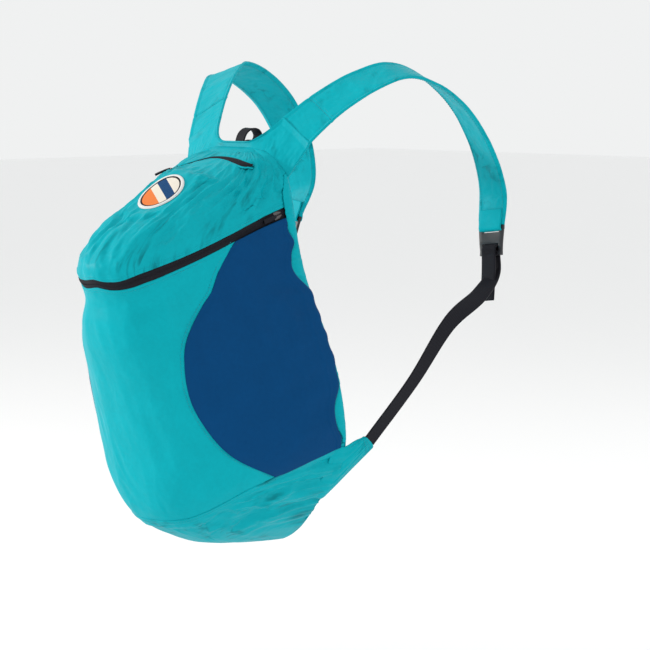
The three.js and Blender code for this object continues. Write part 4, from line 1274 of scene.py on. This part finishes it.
def corner_tab(skin, side):
    def place(a, b):
        point = tab_place(skin, a, b)
        point.x += hem(min(a, 1 - a) * 0.03, 2.2 * MM, 0.5 * MM)
        return flipped(point, side)

    return sheet_grid(mirrored_name("tab_cloth", side), place, 60, 60, (0.05, 0.05), finish("strap_nylon"),
                      2.6 * MM, side < 0, (0.12, 0.12), 0.0)


def lock_frame(skin):
    """The ladder lock's own frame at the strap's end: across, along the strap and out from the chest."""
    stops = strap_stops(skin.s)
    middle, aside, along, _, _ = stop_at(stops, 1.0)
    return middle + along * 0.4 * MM, aside, along, (-aside.cross(along)).normalized()


def lock_point(skin, along_by, out_by, across_by=0.0):
    foot, aside, along, out = lock_frame(skin)
    return foot + along * along_by + out * out_by + aside * across_by


def web_stops(skin):
    s = skin.s
    _, tip, lean = tab_points(skin)
    ahead = Vector((0.24, 0.54, 0.8)).normalized()
    start = tip - ahead * 0.8 * MM
    flank = Vector((s.flank_spread / 2, s.flank_forward, -s.flank_drop))
    clear = s.lock_thickness / 2 + s.web_thickness
    under = lock_point(skin, s.lock_length * 1.47, -1.3 * clear)
    _, aside, _, _ = lock_frame(skin)
    between = lambda a, b, share, bulge: a.lerp(b, share) + Vector((bulge * s.web_width, 0, 0))
    web_start = tip + ahead * 2.5 * MM
    long = s.lock_length
    rows = [
        (start, lean),
        (between(web_start, flank, 0.5, 0.25), Vector((-0.15, 0.8, -0.56))),
        (flank, Vector((0.15, 0.72, -0.62))),
        (between(flank, under, 0.55, 0.5), Vector((0.7, 0.35, -0.5))),
        (under, aside),
        (lock_point(skin, long, -clear), aside),
        (lock_point(skin, long * 0.78, -clear), aside),
        (lock_point(skin, long * 0.64, 0), aside),
        (lock_point(skin, long * 0.78, clear), aside),
        (lock_point(skin, long, clear), aside),
        (lock_point(skin, long + 0.4 * s.web_tail, 0.9 * clear), aside),
        (lock_point(skin, long + s.web_tail, 1.3 * clear), aside),
    ]
    return [(middle, side.normalized(), s.web_width) for middle, side in rows]


def webbing(skin, side):
    weave = lambda a, b: 0.25 * MM * dip(min(a, 1 - a), 0.06)
    return band(mirrored_name("web", side), web_stops(skin), skin.s.web_thickness, 420, 12, (0.016, 0.40),
                finish("webbing_weave"), side, shape=weave)


def strap_end_loop(skin, side):
    """The strap's end, folded round the lock's fixed bar and sewn back on itself."""
    _, aside, _, _ = lock_frame(skin)
    width = 0.6 * skin.s.strap_width
    spots = [(-16, 1.9), (-6, 2.2), (0.5, 3.4), (4.2, 2.9), (5.6, 0),
             (4.2, -2.9), (0.5, -3.4), (-6, -2.2), (-16, -1.9)]
    stops = [(lock_point(skin, along * MM, out * MM), aside, width * 0.95) for along, out in spots]
    return band(mirrored_name("strap_fold", side), stops, 0.9 * MM, 60, 12, (0.026, 0.05),
                finish("turquoise_nylon"), side)


def round_edges(bm, offset, segments):
    """Rounds every sharp edge."""
    bmesh.ops.recalc_face_normals(bm, faces=bm.faces)
    sharp = [edge for edge in bm.edges if edge.calc_face_angle(0) > 0.5]
    bmesh.ops.bevel(bm, geom=sharp, offset=offset, segments=segments, affect="EDGES", profile=0.5,
                    material=-1)


def ladder_lock(skin, side):
    """A moulded frame with a fixed bar, a webbing slot with a toothed bar, and a ribbed lip."""
    s = skin.s
    half, long = s.lock_width / 2, s.lock_length
    reach = s.web_width / 2 + 1.5 * MM
    rows = [0.0, 0.09, 0.23, 0.5, 0.62, 0.84, 1.0]
    columns = [-half, -reach, 0.0, reach, half]
    open_rows = (1, 4)
    bm = bmesh.new()
    bmesh.ops.create_grid(bm, x_segments=4, y_segments=6, size=0.5)
    holes = []
    for face in bm.faces:
        middle = face.calc_center_median()
        column_at, row_at = int((middle.x + 0.5) * 4), int((middle.y + 0.5) * 6)
        if row_at in open_rows and column_at in (1, 2):
            holes.append(face)
    for vert in bm.verts:
        across = columns[round((vert.co.x + 0.5) * 4)]
        share = rows[round((vert.co.y + 0.5) * 6)]
        taper = 1 if abs(across) < half else 1 - 0.16 * share
        vert.co = Vector((across * taper, share * long, 0))
    bmesh.ops.delete(bm, geom=holes, context="FACES")
    grown = bmesh.ops.extrude_face_region(bm, geom=list(bm.faces))
    top = [item for item in grown["geom"] if isinstance(item, bmesh.types.BMVert)]
    bmesh.ops.translate(bm, verts=top, vec=(0, 0, 1))
    for vert in bm.verts:
        share = vert.co.y / long
        thick = s.lock_thickness * (0.62 + 0.38 * ease(0.8, 1.0, share))
        lift = 0.0 if share < 0.8 else 0.1 * s.lock_thickness
        vert.co.z = (vert.co.z - 0.5) * thick + lift
    round_edges(bm, 0.55 * MM, 3)
    for number in range(5):
        rib = Matrix.Translation((0, long * (0.87 + 0.024 * number), s.lock_thickness * 0.5))
        size = Matrix.Diagonal((half * 1.35, 0.35 * MM, 0.9 * MM, 1))
        bmesh.ops.create_cube(bm, size=1.0, matrix=rib @ size)
    foot, aside, along, _ = lock_frame(skin)
    bm.transform(axes(aside, along, aside.cross(along), foot))
    if side < 0:
        bm.transform(Matrix.Scale(-1, 4, (1, 0, 0)))
        bmesh.ops.reverse_faces(bm, faces=bm.faces)
    return new_piece(mirrored_name("lock", side), bm, finish("moulded_plastic"))


def hang_loop(skin):
    s = skin.s
    behind = skin.back(s.hem_height / s.bag_height) + 4.4 * MM - 0.6 * MM
    foot = skin.height(0) - s.hem_height
    rise, gap, far = s.loop_reach * 0.62, s.loop_opening, s.loop_reach
    path = [
        (0, 0),
        (0.02 * far, 0.55 * rise),
        (0.19 * far, rise + 0.7 * s.hem_height),
        (0.48 * far, rise + s.hem_height + gap / 3),
        (0.82 * far, rise + s.hem_height + gap / 6),
        (0.945 * far, rise + s.hem_height - 0.45 * gap),
        (0.82 * far, rise + s.hem_height - gap),
        (0.56 * far, rise + s.hem_height - 0.94 * gap),
        (gap, 0.55 * rise),
        (3.2 * MM, 0),
    ]
    stops = [(Vector((0, behind + y, foot + z)), Vector((1, 0, 0)), s.loop_width) for y, z in path]
    weave = lambda a, b: 0.25 * MM * dip(min(a, 1 - a), 0.07)
    return band("hang_webbing", stops, 1.5 * MM, 140, 10, (0.012, 0.09), finish("webbing_weave"), shape=weave)


# Sliders, patch and thread

def stand_on(skin, turn, level, towards):
    """A frame on the skin whose Y runs towards a point and whose Z stands out."""
    foot, outward = skin.at(turn, level), skin.outward(turn, level)
    along = towards - foot
    along = (along - outward * along.dot(outward)).normalized()
    return axes(along.cross(outward).normalized(), along, outward, foot)


def slider(name, place, long, material):
    """A zip slider: a waisted body, a raised bridge and a ring for the pull."""
    bm = bmesh.new()
    bmesh.ops.create_grid(bm, x_segments=6, y_segments=8, size=0.5)
    for vert in bm.verts:
        share = vert.co.y + 0.5
        half = long * (0.22 + 0.17 * ease(0.0, 0.55, share) - 0.03 * ease(0.7, 1.0, share))
        vert.co = Vector((vert.co.x * 2 * half, share * long, 0))
    crown = 0.2 * long
    bmesh.ops.solidify(bm, geom=list(bm.faces), thickness=crown)
    for vert in bm.verts:
        vert.co.z += crown * (1 if vert.co.z < -0.05 * long else 0.3)
    round_edges(bm, 0.045 * long, 2)
    ring = bmesh.ops.create_circle(bm, segments=8, radius=0.05 * long,
                                   matrix=Matrix.Translation((0, 0.18 * long, 0.22 * long)))
    round_it = list({edge for vert in ring["verts"] for edge in vert.link_edges})
    bmesh.ops.spin(bm, geom=ring["verts"] + round_it, angle=math.pi, steps=10, axis=(1, 0, 0),
                   cent=(0, 0.5 * long, 0.22 * long), use_duplicate=False)
    bm.transform(place)
    return new_piece(name, bm, material)


def pull(name, place, s):
    """A pull of flat tape, narrow where it passes the slider's ring."""
    long, wide, start = s.pull_length, s.pull_width, 0.9 * s.slider_length
    across = (place.to_3x3() @ Vector((1, 0, 0))).normalized()
    rows = ((0.0, 1.6, 0.55), (0.25, 1.9, 0.8), (0.6, 1.8, 1.0), (1.0, 1.4, 0.92))
    stops = [(place @ Vector((0, start + share * long, rise * MM)), across, width * wide)
             for share, rise, width in rows]
    shape = lambda a, b: 0.35 * MM * math.sin(math.pi * a)
    return band(name, stops, 1.5 * MM, 24, 10, (wide, long), finish("webbing_weave"), shape=shape)


def main_slider_place(skin):
    turn, ahead = MAIN_SLIDER_TURN, MAIN_SLIDER_TURN + 8
    return stand_on(skin, turn, skin.line(ZIP_DOWN, turn), skin.at(ahead, skin.line(ZIP_DOWN, ahead)))


def slit_point(skin, share):
    return (smooth_through(column(SLIT_LINE, 0), share),
            skin.level(smooth_through(column(SLIT_LINE, 1), share)))


def top_slider_place(skin):
    return stand_on(skin, *slit_point(skin, 0.74), skin.at(*slit_point(skin, 0.9)))


def patch(skin):
    """An embroidered disc with a raised rim, laid on the lid."""
    s = skin.s
    level = skin.level(PATCH_DOWN)
    centre, outward = skin.at(90, level), skin.outward(90, level)
    across = Vector((1, 0, 0))
    along = outward.cross(across).normalized()
    radius = s.patch_diameter / 2
    bm = bmesh.new()
    uv = bm.loops.layers.uv.new("cloth")
    bmesh.ops.create_grid(bm, x_segments=64, y_segments=64, size=1.0)
    for vert in bm.verts:
        x, y = vert.co.x, vert.co.y
        vert.co = Vector((x * math.sqrt(1 - y * y / 2), y * math.sqrt(1 - x * x / 2), 0))
    for face in bm.faces:
        for loop in face.loops:
            loop[uv].uv = (loop.vert.co.x * radius, loop.vert.co.y * radius)
    for vert in bm.verts:
        x, y = vert.co.x * radius, vert.co.y * radius
        far = vert.co.length
        spot = centre + across * x + along * y
        turn, at = nearest(skin, spot)
        lift = 1.1 * MM + 0.6 * MM * dip(far - 0.93, 0.07) - 0.9 * MM * ease(0.965, 1.0, far)
        vert.co = skin.at(turn, at, lift + saddle_lift(turn, skin.read(0, at)))
    return new_piece("patch_disc", bm, finish("patch_embroidery"))


def nearest(skin, spot):
    """The turn and level of the skin's point nearest to a spot near the middle of the lid."""
    turn, level = 90.0, skin.level(PATCH_DOWN)
    for _ in range(5):
        here = skin.plain(turn, level)
        by_turn = (skin.plain(turn + 0.5, level) - here) / 0.5
        by_level = (skin.plain(turn, level + 0.002) - here) / 0.002
        gap = spot - here
        turn += gap.dot(by_turn) / by_turn.length_squared
        level += gap.dot(by_level) / by_level.length_squared
    return turn, level


def seam_stitches(skin):
    """Topstitching beside the zip, the pockets and the base."""
    beside = skin.s.zip_width * 0.5 + SEAM_INSET
    turns = [HALF_TURN * i / 180 for i in range(181)]
    paths = [
        [skin.seat(turn, skin.beside_zip(turn, -beside), 0.35 * MM) for turn in turns],
        [skin.seat(turn, skin.beside_zip(turn, beside), 0.35 * MM) for turn in turns if 22 < turn < 158],
        [skin.seat(turn, skin.beside_base(turn, SEAM_INSET), 0.35 * MM) for turn in turns],
    ]
    for side in (1, -1):
        seam = [skin.pocket_seam(i / 120) for i in range(121)]
        paths.append([skin.seat(turn + 1.6, level, 0.4 * MM, side) for turn, level in seam])
    return stitches("seam_stitches", paths, finish("turquoise_thread"), skin.s.stitch)


def pocket_stitches(skin):
    """Topstitching on the pockets' upper hems."""
    beside = skin.s.zip_width * 0.5 + SEAM_INSET
    turns = [9 + 12 * i / 30 for i in range(31)]
    paths = [[skin.seat(turn, skin.beside_zip(turn, beside), 2.6 * MM, side) for turn in turns]
             for side in (1, -1)]
    return stitches("pocket_stitches", paths, finish("navy_thread"), skin.s.stitch)


def tab_stitches(skin):
    """Two rows across each tab's end and three along it, on both faces."""
    out = Vector((1, 0, 0.15)).normalized()
    rows = [[tab_place(skin, 0.12 + 0.76 * i / 20, b) for i in range(21)] for b in (0.93, 0.86)]
    rows += [[tab_place(skin, a, 0.34 + 0.62 * i / 30) for i in range(31)] for a in (0.93, 0.87, 0.07)]
    paths = [[(flipped(spot + Vector((face * 1.5 * MM + 0.3 * MM, 0, 0)), side), flipped(out, side * face))
              for spot in row] for side in (1, -1) for row in rows for face in (1, -1)]
    return stitches("tab_stitches", paths, finish("turquoise_thread"), skin.s.stitch)


def stage():
    """A pale floor under the bag."""
    material = bpy.data.materials.new("pale_floor")
    material.use_nodes = True
    shader = material.node_tree.nodes["Principled BSDF"]
    settings(shader, {"Base Color": (0.94, 0.94, 0.94, 1), "Roughness": 0.8})
    bm = bmesh.new()
    bmesh.ops.create_grid(bm, x_segments=1, y_segments=1, size=12.0)
    bmesh.ops.translate(bm, verts=bm.verts, vec=(0, 0, FLOOR_LEVEL))
    floor = new_piece("floor", bm, material)


def light(name, place, target, size, power, colour):
    lamp = bpy.data.lights.new(name, "AREA")
    lamp.shape = "DISK"
    lamp.size = size
    lamp.energy = power
    lamp.color = colour
    holder = put(name, lamp)
    aim = (Vector(target) - Vector(place)).to_track_quat("-Z", "Y").to_matrix().to_4x4()
    holder.matrix_world = Matrix.Translation(place) @ aim


# The camera's side, rise and distance, and how far it stands off its line to frame the bag.
CAMERA_AZIMUTH = 46.0
CAMERA_RISE = 5.0
CAMERA_DISTANCE = 3.2
CAMERA_ASIDE = 0.013
CAMERA_BELOW = 0.253
FOCAL_SHARE = 3200 / 650


def camera():
    turn, rise = math.radians(CAMERA_AZIMUTH), math.radians(CAMERA_RISE)
    backwards = Vector((math.sin(turn) * math.cos(rise), -math.cos(turn) * math.cos(rise), math.sin(rise)))
    right = Vector((math.cos(turn), math.sin(turn), 0))
    up = backwards.cross(right)
    lens = bpy.data.cameras.new("camera")
    lens.sensor_width = 36.0
    lens.lens = lens.sensor_width * FOCAL_SHARE
    lens.clip_end = 60.0
    holder = put("camera", lens)
    spot = backwards * CAMERA_DISTANCE + right * CAMERA_ASIDE - up * CAMERA_BELOW
    holder.matrix_world = axes(right, up, backwards, spot)
    bpy.context.scene.camera = holder


class DAYPACK_OT_stage(bpy.types.Operator):
    """Sets the camera, the floor and the lights"""
    bl_idname = "daypack.stage"
    bl_label = "Set the stage"

    def execute(self, context):
        camera()
        stage()
        context.scene.view_settings.view_transform = "Standard"
        world = bpy.data.worlds.new("studio")
        world.use_nodes = True
        settings(world.node_tree.nodes["Background"], {"Color": (0.99, 1.0, 1.0, 1), "Strength": 0.88})
        context.scene.world = world
        light("key_light", (-2.6, -1.9, 0.8), (0, -0.15, -0.2), 0.35, 60, (1.0, 0.98, 0.95))
        light("side_light", (2.4, -0.9, 0.6), (0, -0.15, -0.25), 1.2, 4, (0.95, 0.98, 1.0))
        light("back_light", (0.3, 2.4, 1.2), (0, -0.1, -0.2), 1.4, 8, (1.0, 1.0, 1.0))
        return {"FINISHED"}


class DAYPACK_OT_panels(bpy.types.Operator):
    """Sews the lid, front, side, base and back panels"""
    bl_idname = "daypack.panels"
    bl_label = "Sew the panels"

    def execute(self, context):
        skin = Skin(context.scene.daypack_sizes)
        top = wear(lid(skin), "turquoise_cloth", "lid_panel")
        disc, reach = skin.plain(90, skin.level(PATCH_DOWN)), skin.s.patch_diameter * 0.6
        crumple(top, 0.09, 3.5 * MM, lambda u, v, spot: (
            ease(0.012, 0.04, min(u, LID_MAP[0] - u)) * ease(0.25, 0.45, v / LID_MAP[1])
            * (1 - ease(0.8, 0.93, v / LID_MAP[1])) * ease(reach, reach * 1.5, (spot - disc).length)))
        cut(top)
        cut(wear(front(skin), "turquoise_cloth", "front_panel"))
        low = wear(base(skin), "turquoise_cloth", "base_panel")
        crumple(low, 0.06, 2.5 * MM, lambda u, v, spot: (
            ease(0.012, 0.05, min(u, BASE_MAP[0] - u)) * ease(0.1, 0.2, v / BASE_MAP[1])
            * (1 - ease(0.35, 0.6, v / BASE_MAP[1]))))
        cut(low)
        cut(wear(back(skin), "turquoise_cloth", "back_panel"))
        for side in (1, -1):
            inner = wear(side_panel(skin, side), "turquoise_cloth", mirrored_name("side_panel", side))
            cut(inner)
        return {"FINISHED"}


class DAYPACK_OT_pockets(bpy.types.Operator):
    """Sews the two side pockets"""
    bl_idname = "daypack.pockets"
    bl_label = "Sew the pockets"

    def execute(self, context):
        skin = Skin(context.scene.daypack_sizes)
        for side in (1, -1):
            cut(wear(pocket(skin, side), "navy_cloth", mirrored_name("side_pocket", side)))
        wear(pocket_stitches(skin), "navy_cloth")
        return {"FINISHED"}


class DAYPACK_OT_edges(bpy.types.Operator):
    """Sews the side edging and the stitched seams"""
    bl_idname = "daypack.edges"
    bl_label = "Sew the edges"

    def execute(self, context):
        skin = Skin(context.scene.daypack_sizes)
        for side in (1, -1):
            cut(wear(edging(skin, side), "turquoise_cloth", mirrored_name("side_edging", side)))
        wear(seam_stitches(skin), "turquoise_cloth")
        return {"FINISHED"}


class DAYPACK_OT_zips(bpy.types.Operator):
    """Sets in the main zip and the top pocket's zip, with their sliders and pulls"""
    bl_idname = "daypack.zips"
    bl_label = "Set in the zips"

    def execute(self, context):
        skin = Skin(context.scene.daypack_sizes)
        long = skin.s.slider_length
        wear(zip_band(skin), "zip_tape", "main_zip")
        wear(zip_coil(skin), "zip_tape")
        wear(slit_band(skin), "zip_tape", "top_zip")
        wear(slit_lip(skin, -1), "turquoise_cloth")
        wear(slit_lip(skin, 1), "turquoise_cloth")
        main_place, top_place = main_slider_place(skin), top_slider_place(skin)
        wear(slider("main_slider", main_place, long, finish("plated_metal")),
             "slider_metal", "main_zip_slider")
        wear(slider("top_slider", top_place, long, finish("moulded_plastic")),
             "black_plastic", "top_zip_slider")
        wear(pull("main_pull", main_place, skin.s), "zip_tape", "main_zip_pull")
        wear(pull("top_pull", top_place, skin.s), "zip_tape", "top_zip_pull")
        return {"FINISHED"}


class DAYPACK_OT_straps(bpy.types.Operator):
    """Sews the yoke, the shoulder straps and the corner tabs"""
    bl_idname = "daypack.straps"
    bl_label = "Sew the straps"

    def execute(self, context):
        skin = Skin(context.scene.daypack_sizes)
        cut(wear(yoke(skin), "turquoise_cloth", "yoke"))
        for side in (1, -1):
            wear(shoulder_strap(skin, side), "turquoise_cloth", mirrored_name("shoulder_strap", side))
            wear(strap_stitches(skin, side), "turquoise_cloth")
            wear(strap_end_loop(skin, side), "turquoise_cloth")
            wear(corner_tab(skin, side), "turquoise_cloth", mirrored_name("corner_tab", side))
        wear(tab_stitches(skin), "turquoise_cloth")
        return {"FINISHED"}


class DAYPACK_OT_webbing(bpy.types.Operator):
    """Threads the webbing through the ladder locks and sews on the hang loop"""
    bl_idname = "daypack.webbing"
    bl_label = "Thread the webbing"

    def execute(self, context):
        skin = Skin(context.scene.daypack_sizes)
        for side in (1, -1):
            wear(webbing(skin, side), "black_webbing", mirrored_name("webbing", side))
            wear(ladder_lock(skin, side), "black_plastic", mirrored_name("ladder_lock", side))
        wear(hang_loop(skin), "black_webbing", "hang_loop")
        return {"FINISHED"}


class DAYPACK_OT_patch(bpy.types.Operator):
    """Sews the round patch to the lid"""
    bl_idname = "daypack.patch"
    bl_label = "Sew on the patch"

    def execute(self, context):
        skin = Skin(context.scene.daypack_sizes)
        wear(patch(skin), "patch_thread", "patch")
        return {"FINISHED"}


OPERATORS = (DAYPACK_OT_stage, DAYPACK_OT_panels, DAYPACK_OT_pockets, DAYPACK_OT_edges, DAYPACK_OT_zips,
             DAYPACK_OT_straps, DAYPACK_OT_webbing, DAYPACK_OT_patch)


class DAYPACK_PT_panel(bpy.types.Panel):
    """Lists the daypack's sizes, colours and steps"""
    bl_idname = "DAYPACK_PT_panel"
    bl_label = "Daypack"
    bl_space_type = "VIEW_3D"
    bl_region_type = "UI"
    bl_category = "Daypack"

    def draw(self, context):
        layout = self.layout
        for group in (context.scene.daypack_sizes, context.scene.daypack_colours):
            for name in group.bl_rna.properties.keys():
                if name not in ("rna_type", "name"):
                    layout.prop(group, name)
        for operator in OPERATORS:
            layout.operator(operator.bl_idname)


CLASSES = (DaypackSizes, DaypackColours, *OPERATORS, DAYPACK_PT_panel)


def register():
    for cls in CLASSES:
        bpy.utils.register_class(cls)
    bpy.types.Scene.daypack_sizes = PointerProperty(type=DaypackSizes)
    bpy.types.Scene.daypack_colours = PointerProperty(type=DaypackColours)


def unregister():
    del bpy.types.Scene.daypack_colours
    del bpy.types.Scene.daypack_sizes
    for cls in reversed(CLASSES):
        bpy.utils.unregister_class(cls)


def main():
    register()
    for operator in OPERATORS:
        group, name = operator.bl_idname.split(".")
        getattr(getattr(bpy.ops, group), name)()


if __name__ == "__main__":
    main()
